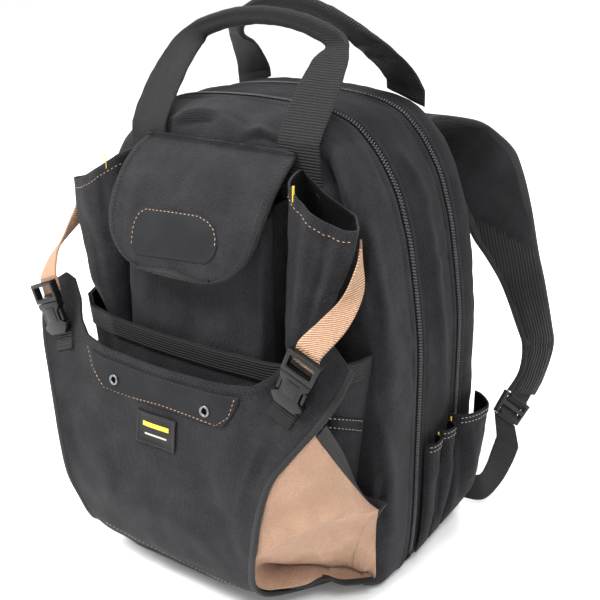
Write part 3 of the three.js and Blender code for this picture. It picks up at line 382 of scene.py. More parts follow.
def panelPoint(side, down):
    row = rowAt(panelRows, down)
    across = abs(side)
    lift = between([(entry[0], entry[1]) for entry in rimRows.rows], min(across, 1))
    ear = pouchSizes["earLift"] * lift * max(0, 1 - 4 * down) ** 1.5
    return Vector((
        side * row.across * pouchSizes["half"],
        -pouchSizes["depth"] * lerp(row.midOut, row.out, side * side) + 0.66 * ear,
        pouchSizes["height"] * lerp(row.midUp, row.up, side * side) + ear))


# Direction that a surface faces at a point
def facingAt(pointAt, across, along, step=0.01):
    u = clamp(across, step, 1 - step)
    v = clamp(along, step, 1 - step)
    sideways = pointAt(u + step, v) - pointAt(u - step, v)
    downwards = pointAt(u, v + step) - pointAt(u, v - step)
    return downwards.cross(sideways).normalized()


def panelNormal(side, down):
    step = 0.01
    start = clamp(down, step, 1 - step)
    across = panelPoint(side + step, start) - panelPoint(side - step, start)
    along = panelPoint(side, start + step) - panelPoint(side, start - step)
    return along.cross(across).normalized()


def panelDown(belowRim):
    rim = panelPoint(0, 0).z
    down = 0
    while rim - panelPoint(0, down).z < belowRim:
        down += 0.002
    return down


gussetSizes = {
    "from": 0.185, "to": 0.86, "backTop": 100, "backBase": 25, "binding": 6, "bound": 4.5,
    "crest": 22, "tuck": 26, "recess": 24, "notch": 9,
}


# Height of the gusset's cloth off the line from panel to body: it rises to a crest that runs down
# towards the panel, turns in below it, and is tucked in deepest at the panel's lower corner
def gussetRise(back, down):
    crest = 0.56 - 0.66 * back
    tuck = min(0.97, 0.6 + 0.68 * back)
    across = math.sin(math.pi * clamp(back, 0, 1)) ** 0.6
    if down < crest:
        height = gussetSizes["crest"] * (down / crest) ** 0.85
    elif down < tuck:
        share = (down - crest) / (tuck - crest)
        height = lerp(gussetSizes["crest"], -gussetSizes["tuck"], share ** 0.8)
    else:
        share = (down - tuck) / (1 - tuck)
        deepest = -gussetSizes["tuck"] - gussetSizes["recess"] * math.sin(math.pi * share) * (1 - back)
        height = lerp(deepest, 0, smooth(0.3, 0.8, share))
    return height * across


def gussetPoint(back, down):
    along = lerp(gussetSizes["from"], gussetSizes["to"], down)
    inward = -panelNormal(1, along)
    away = (panelPoint(1, along) - panelPoint(0.96, along)).normalized()
    front = panelPoint(1, along) + inward * (bag["clothWall"] / 2 + gussetSizes["bound"] / 2 + seamGap + 1.2)
    front += away * (gussetSizes["binding"] * 0.4)
    rear = Vector((
        halfWidth - 0.45 * edgeRound, -0.3 * seamGap,
        lerp(gussetSizes["backTop"], gussetSizes["backBase"], down)))
    point = front.lerp(rear, back)
    outward = Vector((rear.y - front.y, front.x - rear.x, 0)).normalized()
    notch = gussetSizes["notch"] * math.exp(-(((back - 0.45) / 0.13) ** 2)) * smooth(0.8, 1, down)
    return point + outward * gussetRise(back, down) + Vector((0, 0, notch))


toolSizes = {"top": 155, "base": 22, "wall": 2}


def toolPoint(number):
    start, end, top, bulge = toolRows.rows[number]
    seat = halfWidth + 0.1 * edgeRound + toolSizes["wall"] + seamGap

    def pointAt(along, down):
        height = lerp(top * toolSizes["top"], toolSizes["base"], down)
        side = halfWidthAt(height) - halfWidth + seat
        fullness = math.sin(math.pi * along) ** 0.6 * (1 - down ** 3) * (1 - 0.25 * down)
        return Vector((side + bulge * fullness, bodyDepth * lerp(start, end, along), height))
    return pointAt


# The camera of the photograph, in the bag's millimetres
view = {
    "place": (523.8, -648.1, 614.2), "around": 33.9, "above": 21.7,
    "focal": 901.7, "frame": 600, "sensor": 36,
}


def cameraAxes():
    around = math.radians(view["around"])
    above = math.radians(view["above"])
    backwards = Vector((
        math.sin(around) * math.cos(above), -math.cos(around) * math.cos(above), math.sin(above)))
    right = Vector((math.cos(around), math.sin(around), 0))
    return right, backwards.cross(right), backwards


cameraRight, cameraUp, cameraBack = cameraAxes()


def toFrame(point):
    away = Vector(point) - Vector(view["place"])
    depth = -away.dot(cameraBack)
    half = view["frame"] / 2
    return (
        half + view["focal"] * away.dot(cameraRight) / depth,
        half - view["focal"] * away.dot(cameraUp) / depth)


def rayFor(spot):
    half = view["frame"] / 2
    across = (spot[0] - half) / view["focal"]
    upward = (half - spot[1]) / view["focal"]
    return (across * cameraRight + upward * cameraUp - cameraBack).normalized()


camera = bpy.data.objects.new("camera", bpy.data.cameras.new("camera"))
bpy.context.collection.objects.link(camera)
bpy.context.scene.camera = camera
camera.data.sensor_width = view["sensor"]
camera.data.lens = view["focal"] / view["frame"] * view["sensor"]
camera.data.clip_start = 0.01
camera.matrix_world = Matrix.Translation(place(view["place"])) @ Matrix((
    (cameraRight.x, cameraUp.x, cameraBack.x, 0),
    (cameraRight.y, cameraUp.y, cameraBack.y, 0),
    (cameraRight.z, cameraUp.z, cameraBack.z, 0),
    (0, 0, 0, 1)))
print("stage: camera set")


def newFinish(name, color, roughness, metallic=0.0, sheen=0.0, specular=0.5):
    finish = bpy.data.materials.new(name)
    finish.use_nodes = True
    nodes = finish.node_tree.nodes
    nodes.clear()
    output = nodes.new("ShaderNodeOutputMaterial")
    shader = nodes.new("ShaderNodeBsdfPrincipled")
    shader.inputs["Base Color"].default_value = (*color, 1)
    shader.inputs["Roughness"].default_value = roughness
    shader.inputs["Metallic"].default_value = metallic
    shader.inputs["Sheen Weight"].default_value = sheen
    shader.inputs["Sheen Roughness"].default_value = 0.45
    shader.inputs["Specular IOR Level"].default_value = specular
    finish.node_tree.links.new(shader.outputs[0], output.inputs[0])
    return finish, nodes, finish.node_tree.links, shader


bandScale = 0.314159  # a wave texture's scale times the width of its bands


def waveNode(nodes, links, coords, direction, period, distortion=0.0):
    wave = nodes.new("ShaderNodeTexWave")
    wave.wave_type = "BANDS"
    wave.bands_direction = direction
    wave.wave_profile = "SIN"
    wave.inputs["Scale"].default_value = bandScale / period
    wave.inputs["Distortion"].default_value = distortion
    wave.inputs["Detail"].default_value = 0
    links.new(coords, wave.inputs["Vector"])
    return wave.outputs["Fac"]


def noiseNode(nodes, links, coords, size, detail=3.0, roughness=0.5):
    speckle = nodes.new("ShaderNodeTexNoise")
    speckle.inputs["Scale"].default_value = 1 / size
    speckle.inputs["Detail"].default_value = detail
    speckle.inputs["Roughness"].default_value = roughness
    links.new(coords, speckle.inputs["Vector"])
    return speckle.outputs["Fac"]


def mathNode(nodes, links, kind, a, b):
    node = nodes.new("ShaderNodeMath")
    node.operation = kind
    for socket, value in zip(node.inputs, (a, b)):
        if isinstance(value, (int, float)):
            socket.default_value = value
        else:
            links.new(value, socket)
    return node.outputs[0]


def rangeNode(nodes, links, value, low, high, start, end):
    node = nodes.new("ShaderNodeMapRange")
    links.new(value, node.inputs["Value"])
    for name, number in (("From Min", low), ("From Max", high), ("To Min", start), ("To Max", end)):
        node.inputs[name].default_value = number
    return node.outputs[0]


def mixColours(nodes, links, share, first, second):
    mix = nodes.new("ShaderNodeMix")
    mix.data_type = "RGBA"
    links.new(share, mix.inputs[0])
    for socket, value in ((mix.inputs[6], first), (mix.inputs[7], second)):
        if isinstance(value, tuple):
            socket.default_value = (*value, 1)
        else:
            links.new(value, socket)
    return mix.outputs[2]


def addBump(nodes, links, shader, height, distance):
    bump = nodes.new("ShaderNodeBump")
    bump.inputs["Strength"].default_value = 1.0
    bump.inputs["Distance"].default_value = distance
    links.new(height, bump.inputs["Height"])
    links.new(bump.outputs[0], shader.inputs["Normal"])


# Coarse plain weave: the uneven glints of its crossing threads are painted into the colour as a painted
# highlight, with soft patches of wear
def clothFinish(name, dark, light, thread, roughness, sheen, relief, patchiness=0.25, specular=0.35):
    finish, nodes, links, shader = newFinish(name, light, roughness, sheen=sheen, specular=specular)
    coords = nodes.new("ShaderNodeTexCoord")
    warp = waveNode(nodes, links, coords.outputs["UV"], "X", thread, distortion=0.6)
    weft = waveNode(nodes, links, coords.outputs["UV"], "Y", thread, distortion=0.6)
    weave = mathNode(nodes, links, "MULTIPLY", warp, weft)
    slub = noiseNode(nodes, links, coords.outputs["Object"], thread * 1.3, 2)
    fuzz = noiseNode(nodes, links, coords.outputs["Object"], 0.03, 4, 0.6)
    glint = mathNode(nodes, links, "MULTIPLY", weave, rangeNode(nodes, links, slub, 0.3, 0.7, 0.2, 1.6))
    paintedGlintAndWear = mathNode(
        nodes, links, "ADD", glint, rangeNode(nodes, links, fuzz, 0.3, 0.7, -patchiness, patchiness))
    # The colour carries the painted glints of the threads together with the patches of wear
    links.new(mixColours(nodes, links, paintedGlintAndWear, dark, light), shader.inputs["Base Color"])
    height = mathNode(nodes, links, "ADD", glint, mathNode(nodes, links, "MULTIPLY", slub, 0.8))
    addBump(nodes, links, shader, height, relief)
    return finish


# Ribbed webbing: the strap's UV map runs across it in u and along it in v
def webbingFinish(name, dark, light, rib, thread, relief, roughness, sheen):
    finish, nodes, links, shader = newFinish(name, light, roughness, sheen=sheen, specular=0.3)
    coords = nodes.new("ShaderNodeTexCoord")
    ribs = waveNode(nodes, links, coords.outputs["UV"], "Y", rib, distortion=0.3)
    threads = waveNode(nodes, links, coords.outputs["UV"], "X", thread, distortion=0.4)
    slub = noiseNode(nodes, links, coords.outputs["Object"], 0.0022, 3)
    shade = mathNode(nodes, links, "MULTIPLY", ribs, rangeNode(nodes, links, threads, 0, 1, 0.6, 1.1))
    shade = mathNode(nodes, links, "MULTIPLY", shade, rangeNode(nodes, links, slub, 0.3, 0.7, 0.6, 1.35))
    links.new(mixColours(nodes, links, shade, dark, light), shader.inputs["Base Color"])
    height = mathNode(nodes, links, "ADD", ribs, mathNode(nodes, links, "MULTIPLY", threads, 0.35))
    addBump(nodes, links, shader, height, relief)
    return finish


def smoothFinish(name, dark, light, roughness, grain, relief, sheen=0.0, specular=0.5):
    finish, nodes, links, shader = newFinish(name, light, roughness, sheen=sheen, specular=specular)
    coords = nodes.new("ShaderNodeTexCoord")
    fine = noiseNode(nodes, links, coords.outputs["Object"], grain, 4, 0.6)
    broad = noiseNode(nodes, links, coords.outputs["Object"], grain * 22, 2)
    share = mathNode(nodes, links, "MULTIPLY", fine, rangeNode(nodes, links, broad, 0.3, 0.7, 0.6, 1.5))
    links.new(mixColours(nodes, links, share, dark, light), shader.inputs["Base Color"])
    links.new(
        rangeNode(nodes, links, fine, 0.3, 0.7, roughness - 0.07, roughness + 0.1),
        shader.inputs["Roughness"])
    addBump(nodes, links, shader, fine, relief)
    return finish


# Spacer mesh: rows of small round holes over a dark backing, with ribs across
def spacerFinish(name, dark, light, cell, relief):
    finish, nodes, links, shader = newFinish(name, light, 0.9, sheen=0.15, specular=0.2)
    coords = nodes.new("ShaderNodeTexCoord")
    holes = nodes.new("ShaderNodeTexVoronoi")
    holes.inputs["Scale"].default_value = 1 / cell
    holes.inputs["Randomness"].default_value = 0.3
    links.new(coords.outputs["UV"], holes.inputs["Vector"])
    rim = rangeNode(nodes, links, holes.outputs["Distance"], 0.2, 0.5, 0, 1)
    ribs = waveNode(nodes, links, coords.outputs["UV"], "X", cell * 1.6)
    share = mathNode(
        nodes, links, "MULTIPLY",
        rangeNode(nodes, links, rim, 0, 1, 0.5, 1), rangeNode(nodes, links, ribs, 0, 1, 0.2, 1))
    links.new(mixColours(nodes, links, share, dark, light), shader.inputs["Base Color"])
    addBump(nodes, links, shader, share, relief)
    return finish


blackCloth = clothFinish(
    "blackCloth", (0.004, 0.004, 0.005), (0.030, 0.030, 0.0355), 0.0015, 0.8, 0.03, 0.0006, 0.22, 0.2)
# Same black cloth as blackCloth, painted darker: painted shade for the sides of the bag, which face away
# from the light
paintedShadeSideCloth = clothFinish(
    "paintedShadeSideCloth", (0.002, 0.002, 0.003), (0.019, 0.019, 0.0225), 0.0015, 0.82, 0.02, 0.0006, 0.22, 0.17)
patchCloth = smoothFinish(
    "patchCloth", (0.005, 0.0052, 0.006), (0.012, 0.0125, 0.0145), 0.68, 0.0012, 0.00006, 0.02, 0.14)
tanCloth = clothFinish(
    "tanCloth", (0.29, 0.17, 0.11), (0.57, 0.37, 0.255), 0.0016, 0.85, 0.05, 0.0007, 0.18)
tanWebbing = webbingFinish(
    "tanWebbing", (0.2, 0.11, 0.065), (0.62, 0.39, 0.25), 0.0027, 0.0012, 0.0007, 0.8, 0.06)
blackWebbing = webbingFinish(
    "blackWebbing", (0.001, 0.001, 0.0013), (0.009, 0.009, 0.0105), 0.0027, 0.001, 0.0009, 0.65, 0.01)
bindingTape = webbingFinish(
    "bindingTape", (0.001, 0.001, 0.0013), (0.013, 0.013, 0.015), 0.0016, 0.0012, 0.0004, 0.7, 0.03)
strapCloth = clothFinish(
    "strapCloth", (0.002, 0.002, 0.0025), (0.021, 0.022, 0.025), 0.0011, 0.85, 0.03, 0.0005, 0.2, 0.2)
spacerMesh = spacerFinish("spacerMesh", (0.001, 0.001, 0.0012), (0.013, 0.013, 0.015), 0.0022, 0.0008)
liningCloth = clothFinish(
    "liningCloth", (0.001, 0.001, 0.0013), (0.007, 0.007, 0.008), 0.0011, 0.9, 0.0, 0.0003, 0.2, 0.1)
# Tape darker than the cloth: its own dark tone and painted shade of the grooves beside the coil
zipperTapeAndGrooveShade = clothFinish(
    "zipperTapeAndGrooveShade", (0.002, 0.002, 0.0025), (0.012, 0.012, 0.014), 0.0009, 0.85, 0.02, 0.0003, 0.1, 0.15)
# Black glossy coil with its colour painted lighter: a painted highlight so its teeth read as glints
coilPlasticPaintedHighlight = smoothFinish(
    "coilPlasticPaintedHighlight", (0.016, 0.016, 0.018), (0.055, 0.055, 0.06), 0.3, 0.0008, 0.00002)
bucklePlastic = smoothFinish(
    "bucklePlastic", (0.002, 0.002, 0.0023), (0.005, 0.005, 0.0056), 0.3, 0.0011, 0.00003, 0.0, 0.22)
labelRubber = smoothFinish(
    "labelRubber", (0.002, 0.002, 0.0023), (0.007, 0.007, 0.008), 0.5, 0.0012, 0.00004, 0.0, 0.22)
nickelPlate, nickelNodes, nickelLinks, nickelShader = newFinish(
    "nickelPlate", (0.16, 0.16, 0.165), 0.32, metallic=1.0)
nickelCoords = nickelNodes.new("ShaderNodeTexCoord").outputs["Object"]
nickelGrain = noiseNode(nickelNodes, nickelLinks, nickelCoords, 0.0015, 3)
addBump(nickelNodes, nickelLinks, nickelShader, nickelGrain, 0.00003)
tanThread = smoothFinish(
    "tanThread", (0.3, 0.17, 0.1), (0.5, 0.33, 0.22), 0.75, 0.0008, 0.00002, 0.1, 0.2)
paleThread = smoothFinish(
    "paleThread", (0.3, 0.27, 0.24), (0.5, 0.46, 0.41), 0.75, 0.0008, 0.00002, 0.1, 0.2)
blackThread = smoothFinish(
    "blackThread", (0.001, 0.001, 0.0015), (0.005, 0.005, 0.006), 0.6, 0.0008, 0.00002, 0.1, 0.3)
yellowThread = smoothFinish(
    "yellowThread", (0.6, 0.38, 0.03), (0.85, 0.6, 0.06), 0.75, 0.0008, 0.00002, 0.1, 0.2)

# Rows of stitches: finish of the thread, and a stitch's length, gap and width in millimetres
threads = {
    "tan": (tanThread, 3.0, 1.6, 0.7), "tanBase": (tanThread, 3.0, 1.8, 0.7),
    "tanCross": (tanThread, 2.6, 0.8, 0.8), "pale": (paleThread, 2.8, 1.4, 0.7),
    "black": (blackThread, 3.2, 1.0, 0.8), "blackSeam": (blackThread, 2.6, 1.4, 0.9),
}
print("stage: finishes made")


collection = bpy.context.collection


# Makes an object of a bmesh, riding on the bag and standing for its CAD nodes, with a wall in
# millimetres if it is a sheet
def keepPiece(name, bm, finish, nodes=(), wall=0, lining=None):
    for face in bm.faces:
        face.smooth = True
    mesh = bpy.data.meshes.new(name)
    bm.to_mesh(mesh)
    bm.free()
    piece = bpy.data.objects.new(name, mesh)
    collection.objects.link(piece)
    piece.data.materials.append(finish)
    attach(piece, "root")
    if nodes:
        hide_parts(*nodes)
    if wall:
        giveWall(piece, wall, lining)
    return piece


# How far a surface stands off at a spot of the photograph, from drawn fold lines:
# each has its points, its height in millimetres, its half width in pixels
def foldHeight(lines, spot):
    total = 0
    x, y = spot
    for points, height, width in lines:
        reach = 3 * width
        if not (min(p[0] for p in points) - reach < x < max(p[0] for p in points) + reach):
            continue
        if not (min(p[1] for p in points) - reach < y < max(p[1] for p in points) + reach):
            continue
        best, along = 1e9, 0
        last = len(points) - 1
        for k, ((ax, ay), (bx, by)) in enumerate(zip(points, points[1:])):
            dx, dy = bx - ax, by - ay
            t = clamp(((x - ax) * dx + (y - ay) * dy) / (dx * dx + dy * dy), 0, 1)
            away = math.hypot(x - ax - t * dx, y - ay - t * dy)
            if away < best:
                best, along = away, (k + t) / last
        taper = math.sin(math.pi * clamp(along, 0.03, 0.97)) ** 0.5
        total += height * taper * math.exp(-(best / width) ** 2)
    return total


# Soft unevenness of cloth, in millimetres
def rumple(point, size, height):
    scaled = Vector(point) / size
    return height * (noise.noise(scaled) + 0.5 * noise.noise(scaled * 2.1 + Vector((7, 3, 1))))


# Grid of cloth: pointAt gives its place, lift its folds; its UV map is in metres along the surface
def clothGrid(pointAt, across, along, loop=False, flip=False, lift=None, mirror=False, tube=False):
    bm = bmesh.new()
    weave = bm.loops.layers.uv.new("weave")
    bmesh.ops.create_grid(bm, x_segments=across, y_segments=along, size=0.5, calc_uvs=True)
    bm.verts.ensure_lookup_table()
    shares = [(vert.co.x + 0.5, vert.co.y + 0.5) for vert in bm.verts]
    spots = [pointAt(u, v) for u, v in shares]
    if mirror:
        spots = [Vector((-p.x, p.y, p.z)) for p in spots]
    columns = sorted({round(u, 5) for u, _ in shares})
    rows = sorted({round(v, 5) for _, v in shares})
    grid = {(round(u, 5), round(v, 5)): k for k, (u, v) in enumerate(shares)}
    acrossAt, alongAt = {}, {}
    middle = len(columns) // 2
    for v in rows:
        line = [grid[(u, v)] for u in columns]
        run = [0.0]
        for a, b in zip(line, line[1:]):
            run.append(run[-1] + (spots[a] - spots[b]).length)
        for k, value in zip(line, run):
            acrossAt[k] = (value - run[middle]) / 1000
    for u in columns:
        line = [grid[(u, v)] for v in rows]
        run = [0.0]
        for a, b in zip(line, line[1:]):
            run.append(run[-1] + (spots[a] - spots[b]).length)
        for k, value in zip(line, run):
            alongAt[k] = value / 1000
    for face in bm.faces:
        for corner in face.loops:
            k = corner.vert.index
            corner[weave].uv = (acrossAt[k], alongAt[k])
    shareAt = bm.verts.layers.float_vector.new("share")
    for vert, spot, (u, v) in zip(bm.verts, spots, shares):
        vert.co = spot
        vert[shareAt] = (u, v, 0)
    if loop:
        bmesh.ops.remove_doubles(bm, verts=bm.verts, dist=0.001)
        bmesh.ops.dissolve_degenerate(bm, edges=bm.edges, dist=0.001)
    if tube:
        bmesh.ops.holes_fill(bm, edges=[edge for edge in bm.edges if edge.is_boundary])
        bmesh.ops.recalc_face_normals(bm, faces=bm.faces)
    elif flip != mirror:
        bmesh.ops.reverse_faces(bm, faces=bm.faces)
    bm.normal_update()
    if lift:
        moves = []
        for vert in bm.verts:
            u, v, _ = vert[shareAt]
            moves.append(vert.normal * lift(vert.co, vert.normal, u, v))
        for vert, move in zip(bm.verts, moves):
            vert.co += move
    for vert in bm.verts:
        vert.co = place(vert.co)
    return bm


# Gives a sheet its wall on the side away from its face
def giveWall(piece, wall, lining):
    solid = piece.modifiers.new("wall", "SOLIDIFY")
    solid.thickness = wall / 1000
    solid.offset = -1
    solid.use_even_offset = False
    if lining:
        piece.data.materials.append(lining)
        solid.material_offset = 1


def facesCamera(point, normal):
    return normal.dot((Vector(view["place"]) - Vector(point)).normalized())


# Surface of finished pieces, to lay stitches and tapes on
def surfaceOf(*names):
    graph = bpy.context.evaluated_depsgraph_get()
    points, polygons = [], []
    for name in names:
        piece = bpy.data.objects[name]
        solid = piece.evaluated_get(graph).to_mesh()
        start = len(points)
        points.extend(vert.co.copy() for vert in solid.vertices)
        polygons.extend([start + k for k in face.vertices] for face in solid.polygons)
        piece.evaluated_get(graph).to_mesh_clear()
    return BVHTree.FromPolygons(points, polygons)


# Path on a surface seen at spots of the photograph
def drawnPath(surface, spots, step=2.0):
    origin = place(view["place"])
    path = []
    for (ax, ay), (bx, by) in zip(spots, spots[1:]):
        count = max(1, int(math.dist((ax, ay), (bx, by)) / step))
        for k in range(count + (1 if (bx, by) == spots[-1] else 0)):
            t = k / count
            hit, normal, _, _ = surface.ray_cast(origin, rayFor((lerp(ax, bx, t), lerp(ay, by, t))))
            if hit is not None:
                path.append((hit, normal))
    return path


# Spot of the photograph on a surface, in the bag's millimetres and raised off it by metres
def seenOn(surface, spot, raised=0.0):
    hit, normal, _, _ = surface.ray_cast(place(view["place"]), rayFor(spot))
    hit = hit + normal * raised
    return Vector((hit.x * 1000, hit.y * 1000 - frameShift, hit.z * 1000)), normal


# Path on a surface beside points given in the bag's millimetres, each moved off it first
def nearPath(surface, points, off=(0, 0, 0), mirror=False):
    path = []
    for point in mirrored([point + Vector(off) for point in points], mirror):
        hit, normal, _, _ = surface.find_nearest(place(point))
        if hit is not None:
            facing = normal if normal.dot(place(point) - hit) >= 0 else -normal
            path.append((hit, facing))
    return path


def mirrored(points, mirror):
    return [Vector((-p.x, p.y, p.z)) if mirror else p for p in points]


# Small rounded form: its place, the directions of its axes and its half sizes in millimetres
def beadInto(bm, centre, axes, sizes):
    turn = Matrix(axes).transposed().to_4x4()
    size = Matrix.Diagonal((*[value / 1000 for value in sizes], 1))
    bmesh.ops.create_icosphere(
        bm, subdivisions=1, radius=1, matrix=Matrix.Translation(centre) @ turn @ size)


# Lays short rounded threads along a path; sizes in millimetres
def stitchInto(bm, path, length, gap, width):
    sink, longest = 0.25, 14  # into the cloth, and the longest span that isn't a break in the row
    start = 0.0  # how far into the next span the next thread lies
    for (a, normalA), (b, normalB) in zip(path, path[1:]):
        span = (b - a).length * 1000
        if span > longest:
            start = 0
            continue
        way = (b - a).normalized()
        position = start
        while position < span:
            t = position / span
            normal = normalA.lerp(normalB, t).normalized()
            side = way.cross(normal).normalized()
            up = side.cross(way).normalized()
            centre = a.lerp(b, t) + up * ((width / 2 - sink) / 1000)
            beadInto(bm, centre, (way, side, up), (length / 2, width / 2, width / 2))
            position += length + gap
        start = position - span


def stitchPiece(name, paths, thread):
    finish, length, gap, width = threads[thread]
    bm = bmesh.new()
    for path in paths:
        stitchInto(bm, path, length, gap, width)
    keepPiece(name, bm, finish)


# Folds that the photograph shows: points across the frame, height in mm, half width in pixels
bodyFolds = [
    ([(322, 157), (330, 175), (338, 196), (345, 222)], -5.0, 4.0),
    ([(333, 150), (341, 175), (349, 200), (356, 226)], 3.5, 5.0),
    ([(312, 168), (320, 190), (330, 215)], 3.0, 4.5),
    ([(352, 232), (363, 262), (368, 300)], -2.5, 4.0),
    ([(366, 215), (376, 262), (384, 310), (388, 352)], 2.2, 6.0),
    ([(372, 240), (366, 285), (362, 330)], 2.0, 5.0),
    ([(345, 385), (352, 410), (360, 440)], -2.0, 4.0),
    ([(375, 400), (385, 440), (390, 480), (392, 530)], 2.4, 6.0),
    ([(388, 470), (380, 500), (384, 530)], -2.0, 4.5),
    ([(174, 119), (188, 114), (204, 112), (217, 113)], 3.0, 3.0),
    ([(178, 126), (195, 121), (213, 121)], -2.2, 2.6),
    ([(250, 131), (262, 129), (278, 137)], 3.0, 3.0),
    ([(246, 140), (262, 138), (280, 146)], -2.0, 2.6),
    ([(222, 110), (236, 116), (247, 126)], -2.0, 3.5),
    ([(214, 96), (232, 100), (252, 110)], 2.0, 5.0),
    ([(330, 108), (352, 130), (369, 160), (381, 200)], 2.0, 5.0),
    ([(425, 200), (434, 260), (441, 330), (445, 400)], 2.6, 5.0),
    ([(412, 215), (420, 270), (427, 330)], -1.6, 4.0),
    ([(440, 170), (452, 215), (460, 270)], -1.4, 4.0),
    ([(398, 150), (414, 176), (424, 200)], 2.2, 5.0),
    ([(432, 250), (447, 256), (458, 262)], -1.2, 3.0),
    ([(405, 330), (418, 350), (432, 362)], 1.5, 4.0),
    ([(408, 380), (416, 410), (420, 450), (414, 500)], 2.0, 5.0),
]


def shellLift(height, size):
    def lift(point, normal, u, v):
        rise = rumple(point, size, height) + rumple(point, size * 0.42, height * 0.4)
        if facesCamera(point, normal) > 0:
            rise += 1.9 * foldHeight(bodyFolds, toFrame(point))
        return rise
    return lift


# Lets a shell's folds die out at its zippers, where its cloth is turned under into a welt
def besideZippers(lift, backs):
    def welted(point, normal, u, v):
        away = min(abs(point.y - back) for back in backs) - tapeHalf
        welt = 1.3 * math.exp(-(((away - 3.2) / 2.6) ** 2))
        welt -= 0.7 * math.exp(-(((away - 7.5) / 1.2) ** 2))
        return lift(point, normal, u, v) * smooth(1, 14, away) + welt
    return welted


# Steps of the grids around the bag, and each shell's steps outwards, height and size of its rumples
shells = {"around": 420, "front": (60, 1.3, 46), "middle": (30, 1.5, 40), "rear": (40, 1.6, 40)}

zipperBacks = (bag["frontZipperBack"], bag["rearZipperBack"])
# The middle and rear shells take the black cloth with painted side shade
for name, pointAt, cloth in (
        ("front", frontShellPoint, blackCloth), ("middle", middleShellPoint, paintedShadeSideCloth),
        ("rear", rearShellPoint, paintedShadeSideCloth)):
    steps, height, size = shells[name]
    keepPiece(
        name + "Shell",
        clothGrid(
            pointAt, shells["around"], steps, loop=True, flip=name != "rear",
            lift=besideZippers(shellLift(height, size), zipperBacks)),
        cloth, [name + "_shell"], bag["clothWall"])
print("stage: shells made")

# Coil: pitch of its turns, half sizes of one, how far they lie apart and stand off; and the
# distance of the seams beside it
zippers = {
    "pitch": 3.0, "reach": 2.0, "half": 0.95, "thick": 1.2, "apart": 1.7, "rise": 1.4, "seam": 12.5}
level = SimpleNamespace(inset=0, drop=0, lift=0)  # a ring on the full outline


def zipperTapeBm(back):
    return clothGrid(
        lambda around, across: ringPoint(around, level, back + (across - 0.5) * bag["zipperWidth"]),
        shells["around"], 10, loop=True, flip=True,
        lift=lambda point, normal, u, v: -0.9 * (1 - max(0, 1 - abs(v - 0.5) / 0.28)))


# Coil of a zipper: two rows of small turns that meet in its middle
def coilBm(back):
    bm = bmesh.new()
    count = int(outlineLength / zippers["pitch"])
    for hand in (1, -1):
        for k in range(count):
            share = (k + (0.25 if hand > 0 else 0.75)) / count
            spot = ringPoint(share, level, back)
            if spot.z < edgeRound:
                continue
            ahead = ringPoint(share + 0.001, level, back) - ringPoint(share - 0.001, level, back)
            side = Vector((0, 1, 0))
            ahead = (ahead - side * ahead.y).normalized()
            out = side.cross(ahead).normalized()
            slant = (side * hand + ahead * 0.35).normalized()
            centre = spot + out * zippers["rise"] + side * (zippers["apart"] * hand)
            beadInto(
                bm, place(centre), (slant, out.cross(slant), out),
                (zippers["reach"], zippers["half"], zippers["thick"]))
    return bm


for name, back in zip(("front", "rear"), zipperBacks):
    keepPiece(name + "ZipperTape", zipperTapeBm(back), zipperTapeAndGrooveShade, [name + "_zipper"], 1.4)
    keepPiece(name + "ZipperCoil", coilBm(back), coilPlasticPaintedHighlight)
for name, back, cloth in (
        ("front", zipperBacks[0] - zippers["seam"], "frontShell"),
        ("middle", zipperBacks[0] + zippers["seam"], "middleShell"),
        ("inner", zipperBacks[1] - zippers["seam"], "middleShell"),
        ("rear", zipperBacks[1] + zippers["seam"], "rearShell")):
    seam = [ringPoint(share / 700, level, back) for share in range(40, 661)]
    for point in seam:
        point.x *= 1.02
    stitchPiece(name + "SeamThread", [nearPath(surfaceOf(cloth), seam)], "blackSeam")
print("stage: zippers made")

flapFolds = [
    ([(205, 150), (197, 175), (188, 196)], 1.4, 8.0),
    ([(150, 160), (140, 190), (130, 218)], 1.6, 7.0),
    ([(240, 170), (232, 200), (222, 232)], -1.2, 7.0),
    ([(270, 178), (262, 205), (252, 235)], 1.5, 6.0),
    ([(118, 170), (124, 200), (120, 236)], -1.2, 5.0),
    ([(150, 250), (180, 258), (205, 262)], -0.8, 4.0),
]


def flapLift(point, normal, u, v):
    rise = rumple(point, 38, 0.9)
    if facesCamera(point, normal) > 0:
        rise += foldHeight(flapFolds, toFrame(point))
    edge = min(u, 1 - u) * flapSizes["width"]
    rise += 0.9 * (1 - smooth(5.5, 7.5, edge))  # bound edges stand proud
    rise += 0.9 * smooth(0.945, 0.96, v)
    return rise * smooth(0.0, 0.06, v)


keepPiece(
    "flapCover", clothGrid(flapPoint, 110, 80, lift=flapLift, flip=True),
    blackCloth, ["flap"], flapSizes["wall"])


# Patch of the flap between its left and right edges as the photograph shows them, with a row each
flapPatchRows = table("leftX leftY rightX rightY",
    (146, 207, 199, 214.5), (138, 211, 209, 221), (133.5, 219, 214, 228), (131, 229, 216.5, 237),
    (130, 240, 217, 248), (131.5, 248, 213, 258), (136, 254, 205, 264))
flapSurface = surfaceOf("flapCover")


def flapPatchPoint(u, v):
    row = rowAt(flapPatchRows, v)
    spot = (lerp(row.leftX, row.rightX, u), lerp(row.leftY, row.rightY, u))
    return seenOn(flapSurface, spot, 0.0009)[0]


keepPiece(
    "flapPatch", clothGrid(flapPatchPoint, 60, 40, flip=True), patchCloth, ["flap_patch"], 0.8)

boxFolds = [
    ([(262, 205), (258, 250), (256, 300), (258, 340)], -2.5, 5.0),
    ([(150, 268), (146, 300), (150, 330)], 2.0, 7.0),
    ([(185, 275), (192, 310), (190, 340)], -1.6, 8.0),
    ([(232, 272), (226, 305), (230, 345)], 2.0, 7.0),
    ([(250, 240), (243, 275), (240, 320)], 1.6, 5.0),
    ([(124, 262), (128, 295), (124, 318)], -1.5, 5.0),
]


